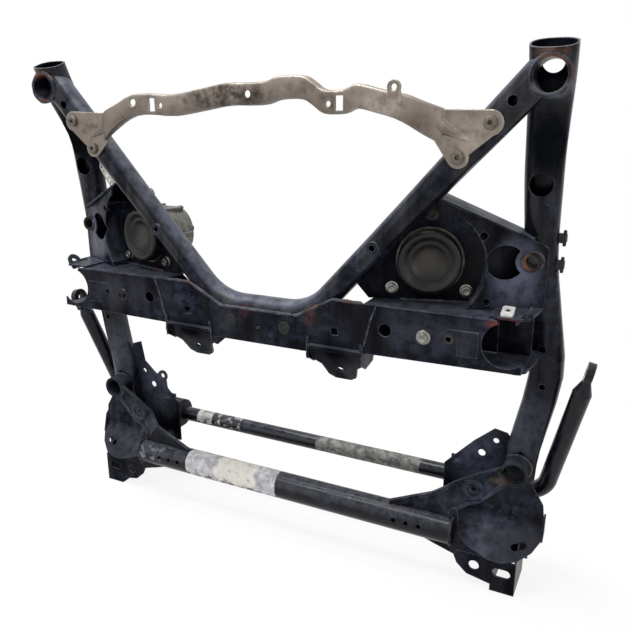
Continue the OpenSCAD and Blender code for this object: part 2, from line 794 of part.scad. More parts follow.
module anti_roll_bar() {
  color("#191a1e")
  place()
  difference() {
    translate([0, bar_y, bar_z])
      union() {
        translate([-arm_x + bar_tan, 0, 0]) rotate([0, 90, 0])
          cylinder(r = bar_r, h = 2 * (arm_x - bar_tan));
        for (x = [-arm_x + bar_tan, arm_x - bar_tan])
          translate([x - 1, 0, 0]) rotate([0, 90, 0]) cylinder(r = bar_r + bar_swell, h = 2);
        for (k = [0, 1])
          mirror([k, 0, 0]) rotate([arm_pitch, 0, 0]) {
            translate([arm_x - bar_tan, 0, bar_bend]) rotate([90, 0, 0]) rotate([0, 0, -90])
              rotate_extrude(angle = arm_lean) translate([bar_bend, 0]) circle(r = bar_r);
            translate([arm_x, 0, 0]) rotate([0, 90 - arm_lean, 0]) {
              translate([0, 0, bar_tan]) cylinder(r = bar_r, h = arm_len - bar_tan - 40);
              translate([0, 0, bar_tan - 1]) cylinder(r = bar_r + bar_swell, h = 2);
              translate([0, 0, arm_len - 40]) cylinder(r1 = bar_r, r2 = 6, h = 26);
              translate([-6, -eye_r + 3, arm_len - 26]) cube([12, 2 * eye_r - 6, 20]);
              translate([-6, 0, arm_len]) rotate([0, 90, 0]) cylinder(r = eye_r, h = 12);
            }
          }
      }
    for (k = [0, 1])
      mirror([k, 0, 0]) translate([0, bar_y, bar_z]) rotate([arm_pitch, 0, 0])
        translate([arm_x, 0, 0]) rotate([0, 90 - arm_lean, 0])
          translate([-big / 4, 0, arm_len]) rotate([0, 90, 0]) cylinder(r = 6.2, h = big / 2);
  }
}

module mount_cup() {
  color("#3a3733")
  mount_frame() rotate([-90, 0, 0]) rotate_extrude()
    polygon([[0, -10], [20, -10], [27, -14], [41, -20], [47, -19], [cup_r, -15], [cup_r, 12], [cup_r - 4, 12],
      [cup_r - 4, -12], [30, -9], [20, -5], [0, -5]]);
}

module mount_body() {
  color("#8c8a84")
  mount_frame()
  difference() {
    union() {
      rotate([-90, 0, 0]) {
        translate([0, 0, sheet + weld]) cylinder(r = 60, h = 9);
        translate([0, 0, sheet + weld]) cylinder(r1 = 57, r2 = 46, h = 72);
        for (a = [0 : 60 : 300])
          rotate([0, 0, a]) translate([40, -3, 8]) cube([17, 6, 58]);
      }
      at_mount_bolts() pin_y(0, sheet + weld, 0, 13, 12);
      sheet_y(sheet + weld, 9)
        polygon([[-12, mount_bolt_r], [12, mount_bolt_r], [mount_bolt_r - 8, -40], [50, -55], [-50, -55],
          [8 - mount_bolt_r, -40]]);
    }
    pin_y(0, 0, 0, cup_r + weld, 12 + weld);
    pin_y(0, 0, 0, cup_r - 8, 50);
    pin_y(0, 0, 0, 24, big);
    at_mount_bolts() pin_y(0, 0, 0, 5, big);
  }
}

module mount_stud() {
  color("#55585c")
  mount_frame() rotate([-90, 0, 0]) {
    translate([0, 0, 46]) cylinder(r = 24 - weld, h = 34);
    translate([0, 0, 80]) cylinder(r = 16, h = 6);
    translate([0, 0, 86]) cylinder(r = 6, h = 24);
  }
}

module mount_bolts() {
  color("#9a9b9a")
  mount_frame() at_mount_bolts() flange_bolt(0, -weld, 0, 4.6, 20);
}

// Channel section with rounded shoulders at one station, wider toward the forks
function brace_ring(s, w) = let (
  x = s[0], y = s[1], z = s[2] + rear_z, d = s[3],
  t = min(w, d - 3), c = min(brace_round, d - 2), e = 0.3 * c,
  h = brace_h + brace_flare * max(0, abs(s[0]) - 240)
) [
  [x, y + c, z - h], [x, y + e, z - h + e], [x, y, z - h + c], [x, y, z + h - c], [x, y + e, z + h - e],
  [x, y + c, z + h], [x, y + d, z + h], [x, y + d, z + h - w], [x, y + t, z + h - w], [x, y + t, z - h + w],
  [x, y + d, z - h + w], [x, y + d, z - h]
];

module brace_channel() {
  st = smooth(brace_stations, 3);
  m = len(st);
  n = 12;
  pts = [for (s = st) for (p = brace_ring(s, 3.4)) p];
  cap = [[0, 11, 10, 9], [0, 9, 1], [1, 9, 2], [2, 9, 8, 3], [3, 8, 4], [4, 8, 5], [5, 8, 7, 6]];
  e = (m - 1) * n;
  last = [for (f = cap) [for (i = [len(f) - 1 : -1 : 0]) e + f[i]]];
  polyhedron(points = pts, faces = concat(skin(n, m, 0), cap, last));
}

// Forked end plate that starts at station n of the brace
module brace_end(n) {
  p = leg_point(brace_bolt_s[1]);
  q = leg_point(brace_bolt_s[0]);
  nx = abs(n[0]) - 12;
  nz = n[2] + rear_z;
  sheet_y(-5, 4.8) {
    translate(p) circle(r = 17);
    translate(q) circle(r = 15);
    polygon([[nx, nz + 24], [p[0] + 2, p[1] + 17], [p[0] + 6, p[1] - 15], [q[0] + 15, q[1] + 4],
      [q[0] - 13, q[1] - 8], [nx, nz - 18]]);
  }
}

// Pressed dart that runs from the channel into the fork at station n
module brace_dart(n) {
  difference() {
    translate([abs(n[0]) - 10, -4, n[2] + rear_z + 4]) rotate([0, 116, 0]) cylinder(r1 = 11, r2 = 2, h = 52);
    translate([0, -1.2, 0]) cube([2 * big, big, 3 * big]);
  }
}

module rear_brace() {
  color("#8a8378")
  place()
  difference() {
    union() {
      brace_channel();
      brace_end(brace_stations[len(brace_stations) - 1]);
      brace_dart(brace_stations[len(brace_stations) - 1]);
      mirror([1, 0, 0]) {
        brace_end(brace_stations[0]);
        brace_dart(brace_stations[0]);
      }
      pin_y(245, -brace_off, rear_z - 12, 9.5, 5);
      translate([236, -brace_off, rear_z - 32]) cube([18, 5, 20]);
    }
    pin_y(245, -big / 2, rear_z - 12, 4.6, big);
    pin_y(15, -big / 2, rear_z - 18, 5.5, big / 2);
    pin_y(-204, -big / 2, rear_z - 28, 6.5, big / 2);
    for (k = [0, 1])
      mirror([k, 0, 0]) {
        translate([159, -big / 2, rear_z - 42]) cube([12, big / 2, 20]);
        pin_y(148, -big / 2, rear_z - 33, 4, big / 2);
        for (s = brace_bolt_s)
          pin_y(leg_point(s)[0], -big / 2, leg_point(s)[1], 4.2, big);
      }
  }
}

module brace_bolts() {
  color("#7d7a76")
  for (s = brace_bolt_s)
    flange_bolt(leg_point(s)[0], -5 - weld, leg_point(s)[1], 4, 14);
}

module beam_plugs() {
  color("#101113")
  place()
  for (k = [0, 1])
    mirror([k, 0, 0]) {
      pin_y(plug_x, -sheet - 2.5, beam_z - 20, 11, 2.4);
      pin_y(plug_x, -sheet - 1, beam_z - 20, 7.8, 8);
    }
}

module beam_bolts() {
  color("#b4b4b0")
  place()
  for (k = [0, 1])
    mirror([k, 0, 0])
      flange_bolt(mount_x + 14, -sheet - weld, beam_z - 2, 5, 12);
}

module clip_nut() {
  color("#c0bfba")
  place()
  translate([beam_half - 38, 10, beam_top + sheet + 2 * weld])
    difference() {
      cube([18, 22, 5]);
      translate([9, 11, -1]) cylinder(r = 3.5, h = 8);
    }
}

module perforated_strip() {
  color("#d8d6cf")
  left()
  difference() {
    translate([rear_x - 36, side_top_y + 68, mid_z + 124]) rotate([0, 124, 0]) difference() {
      translate([0, 0, -10]) cube([66, 2, 20]);
      for (u = [14 : 10 : 60])
        for (v = [-5, 5])
          pin_y(u, -1, v, 2.6, 4);
    }
    side_solid(weld, 2, 4);
  }
}

module cable_clips() {
  color("#15161a")
  right()
  difference() {
    for (z = [mid_z + 26, mid_z - 14]) {
      translate([mid_x + 24, side_top_y + 76, z]) cube([18, 14, 14]);
      translate([mid_x + 36, side_top_y + 80, z - 5]) cube([5, 7, 24]);
    }
    side_solid(weld, 3, 5);
  }
}

left() side_member();  // left_side_member
right() side_member();  // right_side_member
v_crossmember();
crossbeam();
crossbeam_cover();
left() rack_lug();  // left_rack_lug
right() rack_lug();  // right_rack_lug
left() arm_bracket();  // left_arm_bracket
right() arm_bracket();  // right_arm_bracket
left() mount_pocket();  // left_mount_pocket
right() mount_pocket();  // right_mount_pocket
left() gusset();  // left_gusset
right() gusset();  // right_gusset
left() rear_sleeve();  // left_rear_sleeve
right() rear_sleeve();  // right_rear_sleeve
left() mid_sleeve();  // left_mid_sleeve
right() mid_sleeve();  // right_mid_sleeve
left() front_sleeve();  // left_front_sleeve
right() front_sleeve();  // right_front_sleeve
front_cross_tube();
left() console_shell();  // left_console_shell
right() console_shell();  // right_console_shell
left() console_plate();  // left_console_plate
right() console_plate();  // right_console_plate
left() end_bracket();  // left_end_bracket
right() end_bracket();  // right_end_bracket
left() stabiliser_plate(true);  // left_stabiliser_plate
right() stabiliser_plate(false);  // right_stabiliser_plate
left() bar_bush();  // left_bar_bush
right() bar_bush();  // right_bar_bush
left() bush_clamp();  // left_bush_clamp
right() bush_clamp();  // right_bush_clamp
left() clamp_bolts();  // left_clamp_bolts
right() clamp_bolts();  // right_clamp_bolts
anti_roll_bar();
left() mount_cup();  // left_mount_cup
right() mount_cup();  // right_mount_cup
left() mount_body();  // left_mount_body
right() mount_body();  // right_mount_body
left() mount_stud();  // left_mount_stud
right() mount_stud();  // right_mount_stud
left() mount_bolts();  // left_mount_bolts
right() mount_bolts();  // right_mount_bolts
rear_brace();
left() brace_bolts();  // left_brace_bolts
right() brace_bolts();  // right_brace_bolts
beam_plugs();
beam_bolts();
clip_nut();
perforated_strip();
cable_clips();
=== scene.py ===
"""Front-axle subframe: finishes, weld seams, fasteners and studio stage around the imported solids."""

import math

import bmesh
import bpy
import numpy as np
from mathutils import Matrix


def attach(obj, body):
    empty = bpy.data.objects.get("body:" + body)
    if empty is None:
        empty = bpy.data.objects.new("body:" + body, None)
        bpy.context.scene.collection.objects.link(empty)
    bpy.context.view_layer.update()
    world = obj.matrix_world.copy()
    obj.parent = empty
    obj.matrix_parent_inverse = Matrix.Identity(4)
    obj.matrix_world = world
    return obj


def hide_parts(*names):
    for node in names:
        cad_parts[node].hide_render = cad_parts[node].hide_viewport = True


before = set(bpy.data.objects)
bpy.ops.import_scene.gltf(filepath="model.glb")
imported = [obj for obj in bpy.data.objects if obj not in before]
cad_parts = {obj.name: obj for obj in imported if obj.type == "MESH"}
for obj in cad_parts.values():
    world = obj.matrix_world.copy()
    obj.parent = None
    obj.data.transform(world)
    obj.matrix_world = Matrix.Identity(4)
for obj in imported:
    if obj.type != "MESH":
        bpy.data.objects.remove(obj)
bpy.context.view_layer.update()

bl_info = {
    "name": "Subframe Dress",
    "version": (1, 0, 0),
    "blender": (4, 5, 0),
    "location": "View3D > Sidebar > Subframe",
    "description": "Dresses the solids of a front-axle subframe with finishes, welds and fasteners",
    "category": "Object",
}

MM = 0.001
SIDES = ("left", "right")
FRONT = (0.0, -1.0, 0.0)
# The solids' depth datum is the underside face of the crossbeam web; the origin lies this far behind it
DEPTH_DATUM = 83.85
# Crossbeam: upper edge, height of the V tube's middle run, front of the web
BEAM_TOP, BEAM_MID, WEB_FRONT = 503.0, 465.0, -3.0
# V tube: foot and upper end of its right leg, the leg's lean, and the brace bolts' places along the leg
FOOT_X, REAR_X, REAR_Z = 89.5, 440.0, 832.0
LEG_LEAN = math.atan2(REAR_Z + 18.0 - BEAM_MID, REAR_X - FOOT_X)
LEG_BOLTS = (355.0, 417.5)
# Body-mount sleeves: x and z of their axes
REAR_SLEEVE, MID_SLEEVE, FRONT_SLEEVE = (REAR_X, REAR_Z), (428.0, 577.0), (426.0, 216.0)
# Outer plate of a mount pocket: x and depth where it starts, and its slope
POCKET_X, POCKET_Y, POCKET_SLOPE = 365.0, 44.5, math.tan(math.radians(24))
# Side tube at its front sleeve: middle, half width, depth of the middle and rise of the front
SIDE_X, SIDE_HALF, SIDE_Y, SIDE_RISE = 429.4, 26.5, 138.0, 21.0
# Cross tube: end, depth and height of its axis, radius
TUBE_END, TUBE_Y, TUBE_Z, TUBE_R = 334.0, 76.0, 95.0, 25.5
# Engine mounts: seat origin 70 mm off the leg, turn of the axis, radius of the bolt circle, spread in degrees
MOUNT_Y, MOUNT_Z, MOUNT_TURN = 60.0, 567.0, math.radians(14.7)
MOUNT_X = FOOT_X + (MOUNT_Z - BEAM_MID) / math.tan(LEG_LEAN) + 70.0 / math.sin(LEG_LEAN)
MOUNT_AWAY = np.array([math.sin(MOUNT_TURN), -math.cos(MOUNT_TURN), 0.0])
MOUNT_BOLTS, MOUNT_SPREAD = 73.0, 52.0
# Anti-roll bar: height of its axis, x of its bushes, reach of the clamp bolts, depth of the stabiliser plate
BAR_Z, BUSH_X, CLAMP_REACH, PLATE_Y = 146.0, 322.0, 41.0, 145.0
# Spring nut on the right control-arm bracket
NUT_X, NUT_Y, NUT_Z = 408.0, 21.0, 506.4


class SubframeSizes(bpy.types.PropertyGroup):
    """Sizes of what is added to the solids."""

    bead_radius: bpy.props.FloatProperty(
        name="Bead radius", description="Half width of a weld bead", default=0.0026, unit="LENGTH")
    bead_pitch: bpy.props.FloatProperty(
        name="Bead pitch", description="Distance between two weld ripples", default=0.0055, unit="LENGTH")
    bead_ripple: bpy.props.FloatProperty(
        name="Bead ripple", description="Share of the radius in the ripples", default=0.22, min=0, max=1)
    edge_radius: bpy.props.FloatProperty(
        name="Edge radius", description="Rounding of pressed edges", default=0.0016, unit="LENGTH")
    smooth_angle: bpy.props.FloatProperty(
        name="Smooth angle", description="Edges flatter than this are shaded round",
        default=math.radians(32), subtype="ANGLE")
    thread_pitch: bpy.props.FloatProperty(
        name="Thread pitch", description="Rise of the stud thread per turn", default=0.00175, unit="LENGTH")


class SubframeColours(bpy.types.PropertyGroup):
    """Colours of the finishes, as sRGB hex values."""

    coat: bpy.props.StringProperty(name="Dip coat", description="Black dip coat", default="#0A0B11")
    coat_worn: bpy.props.StringProperty(name="Worn coat", description="Scuffed dip coat", default="#2A2E3D")
    # Dust colour on top faces, which also serves as their painted highlight
    dust_and_highlight: bpy.props.StringProperty(name="Dust", description="Road dust on top faces", default="#656976")
    edge: bpy.props.StringProperty(name="Bare edge", description="Edges rubbed bare", default="#676C79")
    rust: bpy.props.StringProperty(name="Rust", description="Rust at welds and seats", default="#5A3524")
    alloy: bpy.props.StringProperty(name="Alloy", description="Pressed alloy of the brace", default="#776D65")
    stain: bpy.props.StringProperty(name="Stain", description="Dark stains on the alloy", default="#3A342E")
    casting: bpy.props.StringProperty(name="Casting", description="Cast alloy mounts", default="#74726C")
    zinc: bpy.props.StringProperty(name="Zinc", description="Zinc-plated fasteners", default="#94948F")
    rubber: bpy.props.StringProperty(name="Rubber", description="Bushes and plugs", default="#141416")
    residue: bpy.props.StringProperty(name="Residue", description="Torn adhesive paper", default="#BFBDC0")
    strip: bpy.props.StringProperty(name="Strip", description="Perforated strip", default="#C9C7C0")


def settings():
    """The sizes and the colours that a user can change."""
    return bpy.context.scene.subframe_sizes, bpy.context.scene.subframe_colours


def linear(text):
    """Linear RGBA of an sRGB hex value."""
    parts = [int(text[i:i + 2], 16) / 255 for i in (1, 3, 5)]
    return (*[c / 12.92 if c <= 0.04045 else ((c + 0.055) / 1.055) ** 2.4 for c in parts], 1.0)


def per_mm(size):
    """Scale at which a noise on Object coordinates has blobs about size mm across."""
    return 1000.0 / size


def add(tree, kind, inputs=None, out=0, **properties):
    """Adds a shader node, sets its properties, fills or links its inputs, and returns the output asked for.

    A colour Mix takes its share at input 0 and its colours at 6 and 7, and gives its colour at output 2."""
    made = tree.nodes.new("ShaderNode" + kind)
    for key, value in properties.items():
        setattr(made, key, value)
    for key, value in (inputs or {}).items():
        if isinstance(value, bpy.types.NodeSocket):
            tree.links.new(value, made.inputs[key])
        else:
            made.inputs[key].default_value = value
    return made.outputs[out] if made.outputs else made


def start_material(name):
    """A new node material: its tree, its shader and the Object coordinates."""
    made = bpy.data.materials.new(name)
    made.use_nodes = True
    tree = made.node_tree
    return made, tree, tree.nodes["Principled BSDF"], add(tree, "TexCoord", out="Object")


def round_edges(tree, radius):
    """Normal with rounded edges, the plain normal, and 1 where an edge is near."""
    soft = add(tree, "Bevel", {"Radius": radius}, samples=4)
    flat = add(tree, "NewGeometry", out="Normal")
    same = add(tree, "VectorMath", {0: soft, 1: flat}, "Value", operation="DOT_PRODUCT")
    return soft, flat, add(tree, "MapRange", {"Value": same, "From Min": 0.99, "From Max": 0.84})


def spot(tree, place, centre, reach):
    """1 inside an ellipsoid round centre, falling to 0 at its rim; millimetres in the part's frame."""
    off = add(tree, "VectorMath", {0: place, 1: [c * MM for c in centre]}, operation="SUBTRACT")
    part = add(tree, "VectorMath", {0: off, 1: [r * MM for r in reach]}, operation="DIVIDE")
    far = add(tree, "VectorMath", {0: part}, "Value", operation="LENGTH")
    return add(tree, "MapRange", {"Value": far, "From Min": 1.0, "From Max": 0.35})


def spotted(tree, place, noise, low, high, colour, spots):
    """Lays spots over a colour where a noise rises from low to high; gives the colour and each mask."""
    masks = []
    for centre, reach, paint, share in spots:
        near = add(tree, "Math", {0: spot(tree, place, centre, reach), 1: share}, operation="MULTIPLY")
        inside = add(tree, "MapRange", {"Value": noise, "From Min": low, "From Max": high, "To Max": near})
        colour = add(tree, "Mix", {0: inside, 6: colour, 7: linear(paint)}, 2, data_type="RGBA")
        masks.append(near)
    return colour, masks


def join_shader(tree, shader, colour, rough, soft, height, depth_mm, strength):
    """Colour, roughness and a bump of depth_mm on top of the rounded normal."""
    bump = add(tree, "Bump", {
        "Height": height, "Normal": soft, "Strength": strength, "Distance": depth_mm * MM})
    for key, value in (("Base Color", colour), ("Roughness", rough), ("Normal", bump)):
        tree.links.new(value, shader.inputs[key])


# Darker and lighter places of both sides, with painted shade in pockets and bores: centre, reach, colour and
# strength
PAIRED_SPOTS = (
    # Painted shade on the seat of the mount pocket
    ((265, -22, 567), (92, 46, 90), "#050506", 0.92),
    ((402, -18, 550), (62, 27, 78), "#5A5E70", 0.78),
    # Painted shade: black on the side tube behind the kidney cut
    ((400, 24, 565), (34, 26, 40), "#030304", 1.0),
    ((385, -12, 160), (62, 40, 52), "#4C5060", 0.7),
    ((352, 61, 205), (62, 20, 84), "#4A4E5E", 0.66),
    ((300, -87, 468), (90, 12, 40), "#31323B", 0.6),
    ((435, 40, 290), (50, 90, 90), "#3C404C", 0.6),
    ((440, -30, 745), (50, 90, 80), "#0B0D0E", 0.86),
    # Painted shade in the bores of the front and mid sleeves
    ((426, 60, 216), (34, 72, 34), "#020203", 1.0),
    ((428, 30, 577), (17, 60, 17), "#020203", 1.0),
    ((143, -96, 404), (66, 42, 42), "#060608", 0.85),
    ((460, 10, 78), (85, 75, 46), "#14161D", 0.55),
)
# The same for one side only, mostly rust and bare places and one painted light, with the shared ones on both
# sides after them
FRAME_SPOTS = (
    ((440, -85, 857), (30, 16, 13), "#6E4A38", 0.6),
    ((455, -85, 840), (16, 14, 26), "#5A4336", 0.45),
    ((-440, -85, 852), (30, 20, 14), "#5B3C2C", 0.75),
    ((-440, -75, 806), (22, 24, 12), "#7A4A2E", 0.6),
    # Painted light on the lower inner wall of the right rear sleeve
    ((440, -58, 818), (30, 60, 16), "#74787C", 0.8),
    ((411, -84, 496), (34, 20, 12), "#6A3A32", 0.95),
    ((-25, -86, 466), (14, 12, 18), "#4A2F30", 0.55),
    ((99, -86, 470), (16, 12, 20), "#4A2F30", 0.6),
    ((400, 12, 196), (18, 12, 9), "#7A6850", 0.35),
    ((412, 8, 205), (10, 12, 12), "#6E4C38", 0.3),
    ((330, -86, 466), (9, 6, 9), "#8A7A66", 0.6),
    *PAIRED_SPOTS,
    *[((-x, y, z), reach, paint, share) for (x, y, z), reach, paint, share in PAIRED_SPOTS],
)
# A spot stronger than this also takes the gleam away
DEEP_SHADE = 0.8


def dip_coated_steel(name, dust_and_highlight, dust_and_highlight_from, gloss, rough_low):
    """Steel in a thin dip coat: scuffs in patches, dust on top that is partly a painted highlight, chips,
    rubbed edges and a gleam in runs.
    """
    sizes, colours = settings()
    made, tree, shader, place = start_material(name)
    soft, flat, edge = round_edges(tree, sizes.edge_radius)
    drawn = add(tree, "VectorMath", {0: place, 1: (1.0, 1.0, 0.12)}, operation="MULTIPLY")
    patches, blotches, specks, streaks = [add(tree, "TexNoise", {
        "Vector": vector, "Scale": per_mm(size), "Detail": detail, "Roughness": rough})
        for vector, size, detail, rough in (
            (place, 85, 6.0, 0.62), (place, 17, 5.0, 0.65), (place, 3.2, 3.0, 0.5), (drawn, 26, 4.0, 0.5))]
    up = add(tree, "SeparateXYZ", {0: flat}, "Z")
    # Dust on faces that look up, which also stands as a painted highlight from the top light
    top = add(tree, "MapRange", {"Value": up, "From Min": dust_and_highlight_from, "From Max": 0.72, "To Max": dust_and_highlight})
    haze = add(tree, "MapRange", {"Value": patches, "From Min": 0.44, "From Max": 0.66})
    dust_highlight_film, scuff, chips, rub = [add(tree, "MapRange", {
        "Value": noise, "From Min": low, "From Max": high, "To Max": share})
        for noise, low, high, share in (
            (blotches, 0.2, 0.66, top), (blotches, 0.4, 0.62, haze),
            (specks, 0.65, 0.73, haze), (blotches, 0.3, 0.6, edge))]
    colour = linear(colours.coat)
    for share, paint in (
            (scuff, colours.coat_worn), (dust_highlight_film, colours.dust_and_highlight), (chips, "#4C505C"), (rub, colours.edge)):
        colour = add(tree, "Mix", {0: share, 6: colour, 7: linear(paint)}, 2, data_type="RGBA")
    # Listed spots of rust and tone, with painted shade and painted light among them
    colour, masks = spotted(tree, place, blotches, 0.22, 0.52, colour, FRAME_SPOTS)
    shade = 0.0
    for mask, (*_, share) in zip(masks, FRAME_SPOTS):
        if share > DEEP_SHADE:
            shade = add(tree, "Math", {0: mask, 1: shade}, operation="MAXIMUM")
    rough = add(tree, "MapRange", {
        "Value": dust_highlight_film, "From Min": 0.0, "From Max": 0.6, "To Min": rough_low, "To Max": rough_low + 0.24})
    height = add(tree, "Math", {0: blotches, 1: 1.4, 2: specks}, operation="MULTIPLY_ADD")
    clear = add(tree, "MapRange", {"Value": shade, "From Max": DEEP_SHADE, "To Min": gloss, "To Max": 0.0})
    gleam = add(tree, "MapRange", {
        "Value": streaks, "From Min": 0.38, "From Max": 0.62, "To Min": 0.25, "To Max": 1.2})
    gleam = add(tree, "Math", {0: gleam, 1: clear}, operation="MULTIPLY")
    tree.links.new(gleam, shader.inputs["Specular IOR Level"])
    join_shader(tree, shader, colour, rough, soft, height, 0.35, 0.25)
    return made


def arc_weld_steel(name):
    """Arc-weld bead under the coat: two tones of coat with rust in patches."""
    colours = settings()[1]
    made, tree, shader, place = start_material(name)
    blotches, patches, grain = [add(tree, "TexNoise", {
        "Vector": place, "Scale": per_mm(size), "Detail": detail, "Roughness": rough})
        for size, detail, rough in ((14, 5.0, 0.65), (40, 4.0, 0.5), (1.2, 3.0, 0.5))]
    crown = add(tree, "MapRange", {"Value": blotches, "From Min": 0.42, "From Max": 0.66})
    rusty = add(tree, "MapRange", {"Value": patches, "From Min": 0.52, "From Max": 0.7, "To Max": 0.6})
    colour = linear("#14161C")
    for share, paint in ((crown, "#464A57"), (rusty, colours.rust)):
        colour = add(tree, "Mix", {0: share, 6: colour, 7: linear(paint)}, 2, data_type="RGBA")
    rough = add(tree, "MapRange", {
        "Value": blotches, "From Min": 0.3, "From Max": 0.7, "To Min": 0.42, "To Max": 0.7})
    flat = add(tree, "NewGeometry", out="Normal")
    shader.inputs["Specular IOR Level"].default_value = 0.3
    join_shader(tree, shader, colour, rough, flat, grain, 0.4, 0.4)
    return made


# Lighter and darker places of the brace: centre, reach, colour and strength
BRACE_SPOTS = (
    ((225, -112, 795), (66, 24, 30), "#BDB3A8", 0.62),
    ((350, -92, 752), (74, 28, 52), "#ADA398", 0.5),
    ((-38, -120, 812), (104, 22, 32), "#302A26", 0.96),
    ((10, -122, 812), (56, 12, 20), "#2E2925", 0.85),
    ((160, -122, 800), (18, 12, 20), "#2E2925", 0.6),
    ((330, -96, 762), (26, 14, 8), "#2E2925", 0.8),
    ((-320, -96, 766), (26, 14, 8), "#2E2925", 0.7),
    ((96, -122, 822), (40, 14, 12), "#2E2925", 0.4),
)


def pressed_aluminium(name):
    """Pressed aluminium sheet: satin metal clouded by dirt, stains in the folds, painted highlights on
    shoulders and top faces.
    """
    sizes, colours = settings()
    made, tree, shader, place = start_material(name)
    soft, flat, edge = round_edges(tree, 2.4 * sizes.edge_radius)
    clouds, stains, grain = [add(tree, "TexNoise", {
        "Vector": place, "Scale": per_mm(size), "Detail": detail, "Roughness": rough})
        for size, detail, rough in ((60, 6.0, 0.62), (20, 6.0, 0.68), (1.4, 3.0, 0.5))]
    up = add(tree, "SeparateXYZ", {0: flat}, "Z")
    # The first mask is a painted highlight on faces that look up
    top_highlight, dull, low = [add(tree, "MapRange", {
        "Value": value, "From Min": start, "From Max": full, "To Max": share})
        for value, start, full, share in (
            (up, 0.1, 0.8, 0.7), (clouds, 0.36, 0.66, 0.75), (clouds, 0.4, 0.62, 0.85))]
    dark = add(tree, "MapRange", {"Value": stains, "From Min": 0.5, "From Max": 0.7, "To Max": low})
    # Painted highlight along the edges and shoulders
    pale = add(tree, "Math", {0: edge, 1: 0.45}, operation="MULTIPLY")
    colour = linear(colours.alloy)
    for share, paint in ((dull, "#5A5149"), (top_highlight, "#918982"), (dark, colours.stain), (pale, "#C9C0B6")):
        colour = add(tree, "Mix", {0: share, 6: colour, 7: linear(paint)}, 2, data_type="RGBA")
    colour, _ = spotted(tree, place, stains, 0.38, 0.6, colour, BRACE_SPOTS)
    rough = add(tree, "MapRange", {
        "Value": stains, "From Min": 0.3, "From Max": 0.75, "To Min": 0.34, "To Max": 0.6})
    height = add(tree, "Math", {0: grain, 1: stains}, operation="ADD")
    shader.inputs["Metallic"].default_value = 0.75
    join_shader(tree, shader, colour, rough, soft, height, 0.3, 0.22)
    return made


def mottled_metal(
        name, base, shade, rough, metal, depth, grain=0.9, radius=0.0006, blotch=5.0, share=0.7, marks=(),
        gleam=0.5):
    """Metal in two tones: depth, grain and blotch in mm, radius in m; a mark is centre, reach and colour."""
    made, tree, shader, place = start_material(name)
    soft = add(tree, "Bevel", {"Radius": radius}, samples=4)
    blotches, grains = [add(tree, "TexNoise", {
        "Vector": place, "Scale": per_mm(size), "Detail": detail, "Roughness": coarse})
        for size, detail, coarse in ((blotch, 5.0, 0.65), (grain, 4.0, 0.5))]
    mixed = add(tree, "MapRange", {"Value": blotches, "From Min": 0.38, "From Max": 0.66, "To Max": share})
    colour = linear(base)
    layers = [(mixed, shade), *[(spot(tree, place, centre, reach), paint) for centre, reach, paint in marks]]
    for mask, paint in layers:
        colour = add(tree, "Mix", {0: mask, 6: colour, 7: linear(paint)}, 2, data_type="RGBA")
    spread = add(tree, "MapRange", {
        "Value": blotches, "From Min": 0.3, "From Max": 0.7, "To Min": rough - 0.1, "To Max": rough + 0.12})
    shader.inputs["Metallic"].default_value = metal
    shader.inputs["Specular IOR Level"].default_value = gleam
    join_shader(tree, shader, colour, spread, soft, grains, depth, 0.5)
    return made


def residue_tube(name, papers):
    """Coated round steel with paper residue: papers gives x from and to, two tones, held share and tear."""
    sizes, colours = settings()
    made, tree, shader, place = start_material(name)
    soft = add(tree, "Bevel", {"Radius": sizes.edge_radius}, samples=4)
    flat = add(tree, "NewGeometry", out="Normal")
    patches, blotches, grain = [add(tree, "TexNoise", {
        "Vector": place, "Scale": per_mm(size), "Detail": detail, "Roughness": rough})
        for size, detail, rough in ((60, 6.0, 0.62), (13, 6.0, 0.68), (1.6, 3.0, 0.5))]
    along = add(tree, "SeparateXYZ", {0: place}, "X")
    up = add(tree, "SeparateXYZ", {0: flat}, "Z")
    # Dust on faces that look up, which also stands as a painted highlight
    top = add(tree, "MapRange", {"Value": up, "From Min": 0.12, "From Max": 0.95, "To Max": 0.4})
    haze = add(tree, "MapRange", {"Value": patches, "From Min": 0.46, "From Max": 0.68})
    dust_highlight_film, scuff = [add(tree, "MapRange", {
        "Value": blotches, "From Min": low, "From Max": high, "To Max": share})
        for low, high, share in ((0.34, 0.68, top), (0.42, 0.64, haze))]
    colour = linear(colours.coat)
    for share, paint in ((scuff, colours.coat_worn), (dust_highlight_film, colours.dust_and_highlight)):
        colour = add(tree, "Mix", {0: share, 6: colour, 7: linear(paint)}, 2, data_type="RGBA")
    rough = add(tree, "MapRange", {
        "Value": scuff, "From Min": 0.0, "From Max": 0.6, "To Min": 0.24, "To Max": 0.46})
    sag = add(tree, "MapRange", {"Value": up, "From Min": -0.1, "From Max": -0.6, "To Max": 0.2})
    torn = add(tree, "Math", {0: blotches, 1: sag}, operation="ADD")
    mixed = add(tree, "MapRange", {"Value": blotches, "From Min": 0.38, "From Max": 0.6})
    for low, high, pale, grey, held, tear in papers:
        jag = add(tree, "MapRange", {
            "Value": patches, "From Min": 0.25, "From Max": 0.75, "To Min": -tear * MM, "To Max": tear * MM})
        run = add(tree, "Math", {0: along, 1: jag}, operation="ADD")
        start = add(tree, "MapRange", {"Value": run, "From Min": low * MM, "From Max": (low + 1.5) * MM})
        span = add(tree, "MapRange", {
            "Value": run, "From Min": high * MM, "From Max": (high - 1.5) * MM, "To Max": start})
        inside = add(tree, "MapRange", {
            "Value": torn, "From Min": held, "From Max": held - 0.06, "To Max": span})
        paper = add(tree, "Mix", {0: mixed, 6: linear(pale), 7: linear(grey)}, 2, data_type="RGBA")
        colour = add(tree, "Mix", {0: inside, 6: colour, 7: paper}, 2, data_type="RGBA")
        rough = add(tree, "Math", {0: inside, 1: 0.3, 2: rough}, operation="MULTIPLY_ADD")
    height = add(tree, "Math", {0: grain, 1: blotches}, operation="ADD")
    shader.inputs["Specular IOR Level"].default_value = 0.22
    join_shader(tree, shader, colour, rough, soft, height, 0.3, 0.25)
    return made


